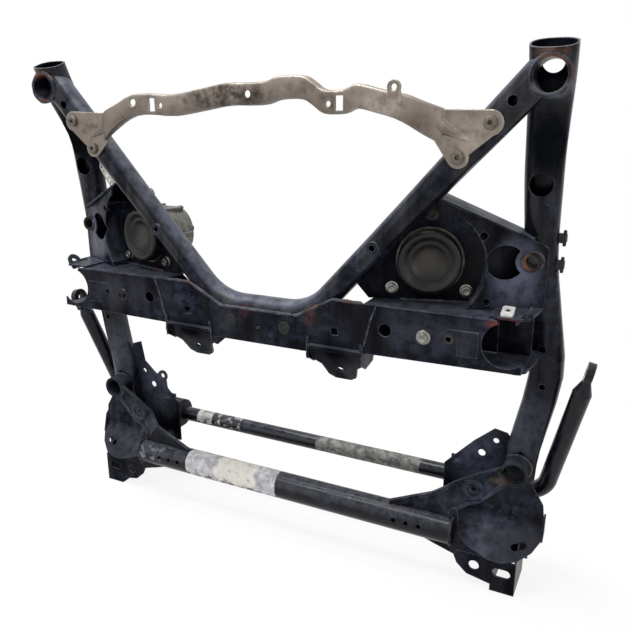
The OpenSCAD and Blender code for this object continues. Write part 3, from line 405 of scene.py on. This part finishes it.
def moulded_polymer(name, base, shade, rough):
    """Moulded rubber or plastic: one tone greyed in blotches, with a fine moulding grain."""
    made, tree, shader, place = start_material(name)
    soft = add(tree, "Bevel", {"Radius": 1.2 * MM}, samples=4)
    blotches, grain = [
        add(tree, "TexNoise", {"Vector": place, "Scale": per_mm(size), "Detail": detail})
        for size, detail in ((11, 5.0), (1.0, 3.0))]
    mixed = add(tree, "MapRange", {"Value": blotches, "From Min": 0.4, "From Max": 0.7, "To Max": 0.6})
    colour = add(tree, "Mix", {0: mixed, 6: linear(base), 7: linear(shade)}, 2, data_type="RGBA")
    spread = add(tree, "MapRange", {
        "Value": blotches, "From Min": 0.3, "From Max": 0.7, "To Min": rough - 0.08, "To Max": rough + 0.1})
    shader.inputs["Specular IOR Level"].default_value = 0.3
    join_shader(tree, shader, colour, spread, soft, grain, 0.15, 0.3)
    return made


def finish(name):
    """The finish of that name, made when it is first asked for."""
    colours = settings()[1]
    makers = {
        # Steel dipped black: blue-black and nearly matt, grey dust and painted highlight on what looks up,
        # pale rubbed edges
        "dip_coated_steel": (dip_coated_steel, dict(dust_and_highlight=0.42, dust_and_highlight_from=0.15, gloss=0.1, rough_low=0.32)),
        # Drawn tube in the same dip: a long soft gleam and more dust and painted highlight on its upper side
        "dip_coated_tube": (dip_coated_steel, dict(dust_and_highlight=0.72, dust_and_highlight_from=0.32, gloss=0.24, rough_low=0.24)),
        # Weld metal under the same coat: ripples that catch light, rust where the coat is thin
        "arc_weld_steel": (arc_weld_steel, {}),
        # Bare pressed aluminium: warm grey satin sheet, painted highlights on shoulders and top faces, dirty
        # folds
        "pressed_aluminium": (pressed_aluminium, {}),
        # Sand-cast aluminium: coarse grey skin with dark oil in its pores
        "sand_cast_aluminium": (mottled_metal, dict(
            base=colours.casting, shade="#302F2C", rough=0.62, metal=0.6, grain=2.4, depth=0.8, radius=0.002,
            blotch=12)),
        # Deep-drawn steel cup: dark oxide with a brownish bloom and a dull sheen on its rings
        "oxidised_steel": (mottled_metal, dict(
            base="#191919", shade="#2C2A29", rough=0.4, metal=0.5, grain=1.2, depth=0.2, radius=0.0015,
            blotch=10, marks=[((x, -34, MOUNT_Z), (r, 60, r), paint) for x in (-MOUNT_X, MOUNT_X)
                              for r, paint in ((58, "#0A0A0B"), (30, "#312D29"))])),
        # Bare turned sleeve: tarnished nearly black, rust on one rim, painted shade in its bores
        "tarnished_steel": (mottled_metal, dict(
            base="#1C1B1D", shade="#3A3330", rough=0.6, metal=0.3, grain=1.4, depth=0.4, radius=0.001,
            blotch=13, share=0.8, gleam=0.1, marks=[
                ((414, -14, 574), (20, 16, 22), "#7A4C36"),
                # Painted shade in the bores of both mid sleeves
                *[((x, 42, MID_SLEEVE[1]), (30, 56, 30), "#020202")
                  for x in (MID_SLEEVE[0], -MID_SLEEVE[0])]])),
        # Zinc-plated fasteners: pale grey metal, dulled in spots, the upper mount bolts grimed over
        "zinc_plated_steel": (mottled_metal, dict(
            base=colours.zinc, shade="#55534E", rough=0.42, metal=0.9, depth=0.15, share=0.8, marks=[
                *[((x, -24, 640), (24, 30, 24), "#24221F") for x in (-MOUNT_X, MOUNT_X)],
                ((-291, -87, 463), (24, 24, 24), "#15171E"), ((-228, -30, 522), (30, 40, 30), "#3A3A3A")])),
        # Newer spring nut: bright zinc, hardly dulled
        "bright_zinc_steel": (mottled_metal, dict(
            base="#CFCEC9", shade="#A3A29C", rough=0.5, metal=0.5, depth=0.1, share=0.6)),
        # Phosphated studs: dark grey, a little brown, dull
        "phosphated_steel": (mottled_metal, dict(
            base="#4A4742", shade="#232120", rough=0.52, metal=0.8, depth=0.2)),
        # Greyed socket bolts of the brace: nearly the tone of the sheet, rough
        "greyed_steel": (mottled_metal, dict(
            base="#6E665E", shade="#3B3631", rough=0.6, metal=0.6, depth=0.3, blotch=4)),
        # Moulded rubber: matt black with dust in it
        "moulded_rubber": (moulded_polymer, dict(base=colours.rubber, shade="#303033", rough=0.72)),
        # Moulded polyamide clips: black with a slight sheen
        "moulded_polyamide": (moulded_polymer, dict(base="#0E0E11", shade="#232328", rough=0.5)),
        # Painted strip: off-white, soiled
        "painted_steel_strip": (moulded_polymer, dict(base=colours.strip, shade="#8F8D87", rough=0.55)),
        # Coated cross tube: black with torn white paper left on it and a scuffed end
        "coated_tube_steel": (residue_tube, dict(papers=(
            (-330, -272, "#646771", "#41444D", 0.5, 14), (-214, -6, colours.residue, "#8F8E93", 0.72, 5),
            (-140, -48, "#CFCBC2", "#BDBAB4", 0.66, 26)))),
        # Coated spring-steel bar: black with torn paper and one blasted grey band
        "coated_bar_steel": (residue_tube, dict(papers=(
            (-262, -222, "#CFCDC8", "#8F8E8B", 0.66, 2), (-214, -150, "#B9B7B1", "#7D7C79", 0.5, 12),
            (26, 244, "#85847F", "#4B4B4B", 0.82, 3)))),
    }
    maker, given = makers[name]
    return bpy.data.materials.get(name) or maker(name, **given)


def dress(node_name, finish_name):
    """Puts a finish on a solid."""
    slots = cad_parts[node_name].data.materials
    slots.clear()
    slots.append(finish(finish_name))


def grid_faces(rows, columns):
    """Quads of a grid of rows by columns points, its columns closed into a ring."""
    i, j = np.meshgrid(np.arange(rows - 1), np.arange(columns), indexing="ij")
    k = (j + 1) % columns
    corners = [i * columns + j, i * columns + k, (i + 1) * columns + k, (i + 1) * columns + j]
    return np.stack(corners, -1).reshape(-1, 4)


def joined(parts):
    """One point list and one face list from several."""
    points, faces, base = [], [], 0
    for p, f in parts:
        points.append(p)
        faces.append(f + base)
        base += len(p)
    return np.concatenate(points), np.concatenate(faces)


def mirrored(part):
    """The same surface on the other side of the part."""
    points, faces = part
    return points * np.array([-1.0, 1.0, 1.0]), faces[:, ::-1]


def hand_over(name, mesh, finish_name, node_name):
    """Smooth shading, finish and frame calls of a new piece, in place of a node if one is named."""
    mesh.shade_smooth()
    mesh.set_sharp_from_angle(angle=settings()[0].smooth_angle)
    mesh.materials.clear()
    mesh.materials.append(finish(finish_name))
    made = bpy.data.objects.new(name, mesh)
    bpy.context.scene.collection.objects.link(made)
    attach(made, "frame")
    if node_name:
        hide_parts(node_name)


def merge_points(mesh, reach, outward=False):
    """Joins the points of a mesh that lie within reach, and turns its faces outward where asked."""
    work = bmesh.new()
    work.from_mesh(mesh)
    bmesh.ops.remove_doubles(work, verts=work.verts, dist=reach)
    if outward:
        bmesh.ops.recalc_face_normals(work, faces=work.faces)
    work.to_mesh(mesh)
    work.free()


def place_piece(name, part, finish_name, node_name=None):
    """Makes an object of points and faces in the part's frame, closes its poles and hands it to the frame."""
    points, faces = part
    mesh = bpy.data.meshes.new(name)
    mesh.from_pydata(points.tolist(), [], faces.tolist())
    merge_points(mesh, 1e-6, True)
    hand_over(name, mesh, finish_name, node_name)


def place_pair(name, part, finish_name, node_name=None):
    """Places a right-hand piece and its mirror image, each in place of its side's node if one is named."""
    for side, shape in (("right", part), ("left", mirrored(part))):
        place_piece(f"{side}_{name}", shape, finish_name, node_name and f"{side}_{node_name}")


def smooth_skin(name, node_name, finish_name):
    """A merged copy of a faceted solid, shaded round where its facets meet at a small angle."""
    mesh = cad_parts[node_name].data.copy()
    merge_points(mesh, 2e-6)
    if "custom_normal" in mesh.attributes:
        mesh.attributes.remove(mesh.attributes["custom_normal"])
    hand_over(name, mesh, finish_name, node_name)


def at_depth(points):
    """Millimetres on the solids' depth datum to metres in the part's frame."""
    return (np.asarray(points, float) - [0.0, DEPTH_DATUM, 0.0]) * MM


def steps(count):
    """The angles of one turn in count even steps."""
    return np.linspace(0, 2 * math.pi, count, endpoint=False)


def even(path, step, closed):
    """The path's points again, spaced evenly by about step, and their distance along it."""
    path = np.vstack([path, path[:1]]) if closed else path
    run = np.concatenate([[0], np.cumsum(np.linalg.norm(np.diff(path, axis=0), axis=1))])
    count = max(8, int(run[-1] / step))
    at = np.linspace(0, run[-1], count + 1)
    points = np.stack([np.interp(at, run, path[:, k]) for k in range(3)], 1)
    return (points[:-1], at[:-1]) if closed else (points, at)


def bead(path, outward, closed=False, scale=1.0):
    """Weld bead: a flattened circle carried along the path, its radius swelling as |sin(pi s / pitch)|
    with two slow drifts of the hand, and closing at free ends."""
    sizes = settings()[0]
    points, run = even(path, sizes.bead_pitch / 5, closed)
    ahead = np.roll(points, -1, 0) - np.roll(points, 1, 0) if closed else np.gradient(points, axis=0)
    ahead /= np.linalg.norm(ahead, axis=1, keepdims=True)
    out = np.broadcast_to(outward, points.shape)
    out = out - (out * ahead).sum(1, keepdims=True) * ahead
    out = out / np.linalg.norm(out, axis=1, keepdims=True)
    across = np.cross(ahead, out)
    swell = 1 - sizes.bead_ripple + sizes.bead_ripple * np.abs(np.sin(math.pi * run / sizes.bead_pitch))
    swell = swell * (1 + 0.12 * np.sin(run * 310.0) + 0.08 * np.sin(run * 127.0 + 1.0))
    radius = scale * sizes.bead_radius * swell
    if not closed:
        ends = np.minimum(run, run[-1] - run) / (2 * sizes.bead_radius)
        radius = radius * np.sqrt(np.clip(ends, 0, 1))
    turn = steps(10)[None, :, None]
    ring = np.cos(turn) * out[:, None, :] * 0.8 + np.sin(turn) * across[:, None, :] * 1.15
    grid = points[:, None, :] + radius[:, None, None] * ring
    if closed:
        grid = np.concatenate([grid, grid[:1]])
    return grid.reshape(-1, 3), grid_faces(len(grid), 10)


def circle_path(centre, radius, depth, start=0.0, stop=360.0):
    """Circle, or an arc in degrees, in the XZ plane round centre; depth is a number or a function of x."""
    a = np.radians(np.linspace(start, stop, 80, endpoint=stop - start < 360))
    x, z = centre[0] + radius * np.cos(a), centre[1] + radius * np.sin(a)
    return at_depth(np.stack([x, depth(x) if callable(depth) else np.full_like(x, depth), z], 1))


def around(rows, count):
    """Surface about +Z in count steps: a row is a radius and a height, one number or one value per step."""
    a = steps(count)
    r, h = (np.stack([np.broadcast_to(np.asarray(row[k], float), a.shape) for row in rows]) for k in (0, 1))
    return np.stack([r * np.cos(a), r * np.sin(a), h], -1).reshape(-1, 3), grid_faces(len(rows), count)


def hex_bolt(shank, grip, flange, across, head):
    """Hex flange bolt along +Z, seat at 0, in mm: circular rows for flange and shank, hexagonal rows
    r = across / 2 / cos(angle to the flat) for the head, its crown cut by a 30 degree cone."""
    hexed = across / 2 / np.cos((steps(72) + math.pi / 6) % (math.pi / 3) - math.pi / 6)
    crown = across / 2 * 0.94
    cone = head - (hexed - crown) * math.tan(math.radians(30))
    hollow = [(0, head - 1.0), (crown * 0.45, head - 1.0), (crown * 0.6, head - 0.3), (crown * 0.72, head)]
    sides = [(crown, head), (hexed, cone), (hexed, 2.9), (hexed + 0.4, 2.3)]
    collar = [(flange - 1.2, 1.7), (flange - 0.3, 1.3), (flange, 0.8), (flange, 0)]
    stem = [(shank, 0), (shank, -grip + 1.0), (shank - 1.0, -grip), (0, -grip)]
    return around(hollow + sides + collar + stem, 72)


def holed_plate(half_x, half_y, hole, thick):
    """Plate along +Z, in mm: rings from a round hole to the outline |x / half_x|^8 + |y / half_y|^8 = 1."""
    a = steps(64)
    edge = (np.abs(np.cos(a) / half_x) ** 8 + np.abs(np.sin(a) / half_y) ** 8) ** (-1 / 8)
    lip = thick + 0.8
    return around([(hole, lip), (hole + 1.2, thick), (edge, thick), (edge, 0), (hole, 0), (hole, lip)], 64)


def aimed(part, place, toward):
    """Turns a part made along +Z (mm) so that +Z looks toward, and sets it at place on the depth datum."""
    points, faces = part
    w = np.asarray(toward, float) / np.linalg.norm(toward)
    u = np.cross([0.0, 0.0, 1.0], w)
    u = u / np.linalg.norm(u)
    v = np.cross(w, u)
    return at_depth(points @ np.stack([u, v, w]) + place), faces


def pocket_front(x):
    """Depth of the outer plate of a mount pocket, at x: a straight slope."""
    return POCKET_Y + (x - POCKET_X) * POCKET_SLOPE


def side_tube_front(x):
    """Depth of a side tube's front beside its front sleeve, at x: its section is |u|^2.5 + |v|^2.5 = 1."""
    u = np.clip(np.abs(x - SIDE_X) / SIDE_HALF, 0, 1)
    return SIDE_Y - SIDE_RISE * (1 - u ** 2.5) ** 0.4


def posed(place, *axes):
    """Matrix of an object at place, with its X, Y and Z along the axes given."""
    turn = Matrix([[axis[k] for axis in axes] for k in range(3)]).to_4x4()
    return Matrix.Translation(place) @ turn


def mount_point(across, along, height):
    """A point in the right engine mount's own frame, on the depth datum."""
    c, s = math.cos(MOUNT_TURN), math.sin(MOUNT_TURN)
    return np.array([MOUNT_X + c * across - s * along, MOUNT_Y + s * across + c * along, MOUNT_Z + height])


def leg_point(run, depth):
    """A point on the right leg of the V tube, run mm from its foot."""
    return np.array([FOOT_X + run * math.cos(LEG_LEAN), depth, BEAM_MID + run * math.sin(LEG_LEAN)])


class SUBFRAME_OT_stage(bpy.types.Operator):
    """Floor, studio light and the camera of the photograph"""

    bl_idname = "subframe.stage"
    bl_label = "Stage"

    def execute(self, context):
        scene = context.scene
        scene.view_settings.view_transform = "Standard"
        self.camera(scene)
        self.floor(scene)
        self.light(scene, "top_softbox", (-0.5, -0.3, 2.7), (0.0, 0.05, 0.4), 1.5, 88.0)
        self.light(scene, "front_fill", (-1.9, -2.6, 1.5), (0.0, 0.0, 0.45), 2.4, 22.0)
        self.light(scene, "side_fill", (2.6, -0.9, 1.3), (0.3, 0.0, 0.5), 1.8, 16.0)
        self.world(scene)
        return {"FINISHED"}

    def camera(self, scene):
        """Camera fitted to the photograph: its place and its right, up and back directions."""
        camera = bpy.data.objects.new("camera", bpy.data.cameras.new("camera"))
        scene.collection.objects.link(camera)
        camera.data.sensor_width = 36.0
        camera.data.lens = 38.73
        camera.data.clip_end = 100.0
        right, up, back = (0.8966, 0.4429, -0.0022), (-0.1245, 0.2568, 0.9584), (0.4251, -0.859, 0.2854)
        camera.matrix_world = posed((0.5771, -1.02855, 0.7859), right, up, back)
        scene.camera = camera

    def light(self, scene, name, place, aim, size, power):
        """A square soft lamp that looks at aim."""
        lamp = bpy.data.lights.new(name, "AREA")
        lamp.shape = "SQUARE"
        lamp.size = size
        lamp.energy = power
        made = bpy.data.objects.new(name, lamp)
        scene.collection.objects.link(made)
        back = np.subtract(place, aim)
        back /= np.linalg.norm(back)
        across = np.cross([0.0, 1.0, 0.0] if abs(back[2]) > 0.9 else [0.0, 0.0, 1.0], back)
        across /= np.linalg.norm(across)
        made.matrix_world = posed(place, across, np.cross(back, across), back)

    def shown(self, tree):
        """1 for rays that show the surroundings: from the camera, off a gloss or through glass."""
        seen = add(tree, "LightPath").node.outputs
        direct = add(tree, "Math", {
            0: seen["Is Camera Ray"], 1: seen["Is Glossy Ray"]}, operation="MAXIMUM")
        return add(tree, "Math", {0: direct, 1: seen["Is Transmission Ray"]}, operation="MAXIMUM")

    def floor(self, scene):
        """Paper floor: matt with a faint shadow near the part, plain white farther off."""
        half, low = 40.0, -0.0004
        mesh = bpy.data.meshes.new("floor")
        corners = [(x * half, y * half, low) for x, y in ((-1, -1), (1, -1), (1, 1), (-1, 1))]
        mesh.from_pydata(corners, [], [(0, 1, 2, 3)])
        made = bpy.data.objects.new("floor", mesh)
        scene.collection.objects.link(made)
        # Matt studio paper: a soft shadow on white, with no edge to the background
        paper = bpy.data.materials.new("matt_studio_paper")
        paper.use_nodes = True
        tree = paper.node_tree
        tree.nodes.clear()
        place = add(tree, "TexCoord", out="Object")
        far = add(tree, "VectorMath", {0: place}, "Value", operation="LENGTH")
        share = add(tree, "MapRange", {
            "Value": far, "From Min": 0.55, "From Max": 1.5, "To Min": 0.86, "To Max": 1.0},
            interpolation_type="SMOOTHSTEP")
        share = add(tree, "Math", {0: share, 1: self.shown(tree)}, operation="MULTIPLY")
        matt = add(tree, "BsdfDiffuse", {"Color": linear("#F6F6F6")})
        glow = add(tree, "Emission", {"Color": (1, 1, 1, 1), "Strength": 1.0})
        mix = add(tree, "MixShader", {0: share, 1: matt, 2: glow})
        add(tree, "OutputMaterial", {"Surface": mix})
        mesh.materials.append(paper)

    def world(self, scene):
        """White surroundings: full white where the camera or a gloss sees them, softer as light."""
        made = bpy.data.worlds.new("studio")
        scene.world = made
        made.use_nodes = True
        tree = made.node_tree
        tree.nodes.clear()
        level = add(tree, "MapRange", {"Value": self.shown(tree), "To Min": 0.5, "To Max": 1.0})
        sky = add(tree, "Background", {"Color": (1, 1, 1, 1), "Strength": level})
        add(tree, "OutputWorld", {"Surface": sky})


class SUBFRAME_OT_pressings(bpy.types.Operator):
    """Dip coat on the pressed sheets, sleeves and brackets, and the narrow sheets beside them"""

    bl_idname = "subframe.pressings"
    bl_label = "Pressings"

    def execute(self, context):
        coated = ["crossbeam", "crossbeam_cover"]
        for side in SIDES:
            coated += [f"{side}_{part}" for part in (
                "rack_lug", "arm_bracket", "mount_pocket", "gusset", "rear_sleeve", "front_sleeve",
                "console_shell", "console_plate", "end_bracket", "stabiliser_plate", "bush_clamp")]
            dress(f"{side}_mid_sleeve", "tarnished_steel")
        for name in coated:
            dress(name, "dip_coated_steel")
        place_pair("tube_web", self.tube_web(), "dip_coated_steel")
        # A strip behind the console's slot that also stands as a dark backing for the shade seen there
        place_pair("foot_back_shade_sheet", self.foot_back_shade_sheet(), "dip_coated_steel")
        place_piece("left_plate_wing", mirrored(self.plate_wing()), "dip_coated_steel")
        return {"FINISHED"}

    def band(self, inner, outer, front, back):
        """Strip of sheet as rings of four corners: both edges as x and z, the faces at depths front and
        back, and a point at each end."""
        corners = ((inner, front), (outer, front), (outer, back), (inner, back))
        grid = np.stack([np.stack([x, np.full_like(x, y), z], 1) for (x, z), y in corners], 1)
        grid = np.concatenate([grid[:1] * 0 + grid[0].mean(0), grid, grid[-1:] * 0 + grid[-1].mean(0)])
        return at_depth(grid.reshape(-1, 3)), grid_faces(len(grid), 4)

    def tube_web(self):
        """Sheet under the cross tube: its lower edge falls from the tube to the foot, its upper edge is set
        into the tube, rises beside the tube's end and then follows the console's rim."""
        x = np.linspace(262.0, 384.0, 124)
        low = np.interp(x, (262.0, 301.5, 343.0, 350.0, 384.0), (75.0, 62.0, 50.0, 57.0, 60.0))
        top = np.interp(x, (262.0, 270.0, 332.5, 333.5, 343.0, 346.0, 357.0, 384.0),
                        (75.0, 72.4, 72.0, 140.0, 139.0, 100.0, 76.5, 65.0))
        return self.band((x, low), (x, top), 71.5, 73.5)

    def foot_back_shade_sheet(self):
        """Flat strip on an end bracket's walls above its open box; also a dark backing for the shade behind
        the console's slot.
        """
        x = np.linspace(408.2, 459.0, 8)
        return self.band((x, np.full_like(x, 60.0)), (x, np.full_like(x, 88.0)), 100.0, 102.0)

    def plate_wing(self):
        """Edge of the stabiliser plate beside the side tube, from its top to its foot: the inner edge is set
        into the plate, the outer edge into the tube and then on to the console."""
        run, at = np.linspace(0.0, 1.0, 62), np.linspace(0.0, 1.0, 6)
        inner = [np.interp(run, at, line) for line in (
            (380, 396, 404, 404, 392, 372), (262, 250, 232, 214, 192, 152))]
        outer = [np.interp(run, at, line) for line in (
            (389, 412, 414, 424, 416, 392), (311, 303, 258, 206, 174, 138))]
        return self.band(inner, outer, PLATE_Y + 0.5, PLATE_Y + 2.5)


class SUBFRAME_OT_tubes(bpy.types.Operator):
    """Round skins of the bent tubes, and the cross tube with its paper residue"""

    bl_idname = "subframe.tubes"
    bl_label = "Tubes"

    def execute(self, context):
        smooth_skin("v_tube_skin", "v_crossmember", "dip_coated_tube")
        for side in SIDES:
            smooth_skin(f"{side}_side_tube_skin", f"{side}_side_member", "dip_coated_tube")
        dress("front_cross_tube", "coated_tube_steel")
        return {"FINISHED"}


class SUBFRAME_OT_welds(bpy.types.Operator):
    """Weld beads along the seams of tubes, sleeves and brackets"""

    bl_idname = "subframe.welds"
    bl_label = "Weld seams"

    def execute(self, context):
        seams = joined(self.round_seams() + self.run_seams())
        place_pair("weld_seams", seams, "arc_weld_steel")
        crown = bead(at_depth([(-68, -1.2, 468.5), (68, -1.2, 468.5)]), (0, -0.8, 0.6))
        place_piece("beam_weld_seam", crown, "arc_weld_steel")
        return {"FINISHED"}

    def round_seams(self):
        """Seams round the sleeves, on the tubes and plates they pass, and round the cross tube's end."""
        turn = steps(80)
        across = TUBE_R + 0.3
        y, z = TUBE_Y + across * np.cos(turn), TUBE_Z + across * np.sin(turn)
        tube_end = np.stack([np.full_like(turn, TUBE_END + 0.4), y, z], 1)
        return [
            bead(circle_path(REAR_SLEEVE, 25.4, 0.4), FRONT, True),
            bead(circle_path(MID_SLEEVE, 14.0, pocket_front), FRONT, True),
            bead(circle_path(FRONT_SLEEVE, 22.8, 93.4, 155, 258), FRONT),
            bead(circle_path(FRONT_SLEEVE, 22.8, side_tube_front, -40, 150), FRONT),
            bead(at_depth(tube_end), (-1.0, 0.0, 0.0), True, 0.8),
        ]

    def run_seams(self):
        """Open seams of the right side: each path's points, the way it faces and its share of the width."""
        seams = (
            # Along the top of the cross tube
            (((222, 66.8, 119), (332, 66.8, 119)), (0, -0.6, 0.8), 0.8),
            # Upper edge of the web, along the V tube and then level
            (((66, -1.2, 468.5), (74, -1.2, 469), (139, -1.2, BEAM_TOP + 0.5), (192, -1.2, BEAM_TOP + 0.5)),
             (0, -0.8, 0.6), 1.0),
            # Mount pocket on the top of the crossbeam
            (((192, 60, BEAM_TOP + 0.6), (240, 49.5, BEAM_TOP + 0.6), (392, 89, BEAM_TOP + 0.6)),
             (0, -0.7, 0.7), 1.0),
            # Both sides of the rack lug
            (((95.5, -4.5, 398), (95.5, -4.5, 437)), FRONT, 0.8),
            (((191.5, -4.5, 404), (191.5, -4.5, 437)), FRONT, 0.8),
            # Down the web, beside the rack lug
            (((213.9, -3.2, 502), (205, -3.2, 478), (199, -3.2, 452), (194, -3.2, 432)), FRONT, 0.5),
        )
        return [bead(at_depth(path), outward, False, scale) for path, outward, scale in seams]


# Flat bolt head with a socket: radius and height from the socket's floor round to the end of the shank
SOCKET_HEAD = ((0, 0.6), (3.0, 0.6), (3.2, 4.6), (3.6, 5.0), (7.6, 5.0), (8.8, 4.4), (9.4, 3.0), (9.4, 0.0),
               (4.0, 0.0), (4.0, -13.0), (3.2, -14.0), (0, -14.0))


class SUBFRAME_OT_fasteners(bpy.types.Operator):
    """Flange bolts of the mounts, clamps and beam, socket bolts of the brace, and the spring nut"""

    bl_idname = "subframe.fasteners"
    bl_label = "Fasteners"

    def execute(self, context):
        angles = np.radians([90.0, -90.0 + MOUNT_SPREAD, -90.0 - MOUNT_SPREAD])
        seats = [mount_point(MOUNT_BOLTS * math.cos(a), -0.2, MOUNT_BOLTS * math.sin(a)) for a in angles]
        clamps = [(BUSH_X, PLATE_Y - 0.2, BAR_Z + rise) for rise in (-CLAMP_REACH, CLAMP_REACH)]
        groups = {
            "mount_bolts": ("zinc_plated_steel", [
                aimed(hex_bolt(4.6, 20, 10.6, 13.6, 8), seat, MOUNT_AWAY) for seat in seats]),
            "brace_bolts": ("greyed_steel", [
                aimed(around(SOCKET_HEAD, 64), leg_point(run, -5.2), FRONT) for run in LEG_BOLTS]),
            "clamp_bolts": ("dip_coated_steel", [
                aimed(hex_bolt(4.0, 16, 9.4, 12.4, 8), clamp, FRONT) for clamp in clamps]),
        }
        for name, (coat, bolts) in groups.items():
            place_pair(f"{name}_set", joined(bolts), coat, name)
        beam = aimed(hex_bolt(5.0, 12, 11.4, 14.6, 7), (291, WEB_FRONT - 0.2, 463), FRONT)
        pair = joined([beam, mirrored(beam)])
        place_piece("beam_bolt_pair", pair, "zinc_plated_steel", "beam_bolts")
        place_piece("spring_nut", self.spring_nut(), "bright_zinc_steel", "clip_nut")
        return {"FINISHED"}

    def spring_nut(self):
        """A flat leaf on the bracket and, above it, a leaf sprung open toward the front: rise and lean."""
        leaf = holed_plate(9.0, 11.0, 3.5, 2.0)
        return joined([aimed(leaf, (NUT_X, NUT_Y, NUT_Z + rise), (0, -math.sin(lean), math.cos(lean)))
                       for rise, lean in ((0.0, math.radians(1)), (5.0, math.radians(24)))])


# Ringed face, wall and inside of a mount cup, and a rubber plug: radius and height
CUP_PROFILE = ((0, 6.4), (9, 6.6), (17, 7.6), (23, 9.6), (26, 12.4), (28.5, 13.6), (31, 13.2), (33.5, 13.4),
               (38, 17.0), (41, 19.4), (44, 20.0), (46.4, 19.2), (48.2, 17.4), (49, 15), (49, -12), (45, -12),
               (45, 12), (30, 9), (20, 5), (0, 5))
PLUG_PROFILE = ((0, 3.0), (5.4, 2.8), (6.4, 2.2), (6.9, 2.2), (7.6, 3.2), (9.6, 3.0), (10.8, 2.0), (11, 0.2),
                (7.6, 0.2), (7.6, -5.5), (6.2, -7.2), (0, -7.4))


class SUBFRAME_OT_mounts(bpy.types.Operator):
    """Engine mounts: pressed cups, cast bodies and threaded studs"""

    bl_idname = "subframe.mounts"
    bl_label = "Engine mounts"

    def execute(self, context):
        seat = mount_point(0, 0, 0)
        cup = aimed(around(CUP_PROFILE, 96), seat, MOUNT_AWAY)
        place_pair("cup_skin", cup, "oxidised_steel", "mount_cup")
        stud = aimed(self.threaded_stud(settings()[0].thread_pitch / MM), seat, -MOUNT_AWAY)
        place_pair("stud_skin", stud, "phosphated_steel", "mount_stud")
        for side in SIDES:
            dress(f"{side}_mount_body", "sand_cast_aluminium")
        return {"FINISHED"}

    def threaded_stud(self, pitch):
        """Core and collar turned, then a thread r = 6 - |2 saw - 1| with saw = h / pitch - angle / turn."""
        count = 40
        core = [(0, 46), (23.8, 46), (23.8, 79), (23, 80), (16, 80), (16, 85.2), (15.2, 86), (6, 86)]
        h = np.arange(87.0, 109.2, pitch / 8)[:, None]
        saw = (h / pitch - steps(count) / (2 * math.pi)) % 1.0
        thread = list(zip(6.0 - np.abs(2 * saw - 1), h))
        return around([*core, *thread, (4.6, 110.0), (0, 110.0)], count)


class SUBFRAME_OT_brace(bpy.types.Operator):
    """Pressed alloy brace between the legs"""

    bl_idname = "subframe.brace"
    bl_label = "Rear brace"

    def execute(self, context):
        smooth_skin("rear_brace_skin", "rear_brace", "pressed_aluminium")
        return {"FINISHED"}


class SUBFRAME_OT_bar(bpy.types.Operator):
    """Anti-roll bar and its rubber bushes"""

    bl_idname = "subframe.bar"
    bl_label = "Anti-roll bar"

    def execute(self, context):
        dress("anti_roll_bar", "coated_bar_steel")
        for side in SIDES:
            dress(f"{side}_bar_bush", "moulded_rubber")
        return {"FINISHED"}


class SUBFRAME_OT_trim(bpy.types.Operator):
    """Rubber plugs, clips and the perforated strip"""

    bl_idname = "subframe.trim"
    bl_label = "Plugs and clips"

    def execute(self, context):
        plug = aimed(around(PLUG_PROFILE, 48), (52.8, WEB_FRONT, 445), FRONT)
        pair = joined([plug, mirrored(plug)])
        place_piece("rubber_plug_pair", pair, "moulded_rubber", "beam_plugs")
        clips = []
        for z in (610.0, 570.0):
            clips += [self.pillow((461, 101, z), (9, 7, 7)), self.pillow((466.5, 101.5, z), (2.5, 3.5, 12))]
        place_piece("moulded_clip_set", joined(clips), "moulded_polyamide", "cable_clips")
        dress("perforated_strip", "painted_steel_strip")
        return {"FINISHED"}

    def pillow(self, centre, half):
        """Rounded block: a superellipsoid, every sine and cosine raised to 0.3, in mm on the depth datum."""
        u = np.linspace(-math.pi, math.pi, 40, endpoint=False)[None, :]
        v = np.linspace(-math.pi / 2, math.pi / 2, 21)[:, None]
        soft = [np.sign(f) * np.abs(f) ** 0.3 for f in (np.cos(v), np.sin(v), np.cos(u), np.sin(u))]
        grid = np.stack([soft[0] * soft[2], soft[0] * soft[3], soft[1] + 0 * u], -1) * half + centre
        return at_depth(grid.reshape(-1, 3)), grid_faces(21, 40)


class SUBFRAME_PT_panel(bpy.types.Panel):
    """Sidebar list of the subframe's steps"""

    bl_idname = "SUBFRAME_PT_panel"
    bl_label = "Subframe"
    bl_space_type = "VIEW_3D"
    bl_region_type = "UI"
    bl_category = "Subframe"

    def draw(self, context):
        for step in STEPS:
            self.layout.operator(step.bl_idname)


STEPS = (
    SUBFRAME_OT_stage, SUBFRAME_OT_pressings, SUBFRAME_OT_tubes, SUBFRAME_OT_welds, SUBFRAME_OT_fasteners,
    SUBFRAME_OT_mounts, SUBFRAME_OT_brace, SUBFRAME_OT_bar, SUBFRAME_OT_trim)
CLASSES = (SubframeSizes, SubframeColours, *STEPS, SUBFRAME_PT_panel)


def register():
    for made in CLASSES:
        bpy.utils.register_class(made)
    bpy.types.Scene.subframe_sizes = bpy.props.PointerProperty(type=SubframeSizes)
    bpy.types.Scene.subframe_colours = bpy.props.PointerProperty(type=SubframeColours)


def unregister():
    del bpy.types.Scene.subframe_colours
    del bpy.types.Scene.subframe_sizes
    for made in reversed(CLASSES):
        bpy.utils.unregister_class(made)


def main():
    """Runs every step in order."""
    register()
    bpy.ops.subframe.stage()
    bpy.ops.subframe.pressings()
    bpy.ops.subframe.tubes()
    bpy.ops.subframe.welds()
    bpy.ops.subframe.fasteners()
    bpy.ops.subframe.mounts()
    bpy.ops.subframe.brace()
    bpy.ops.subframe.bar()
    bpy.ops.subframe.trim()


if __name__ == "__main__":
    main()
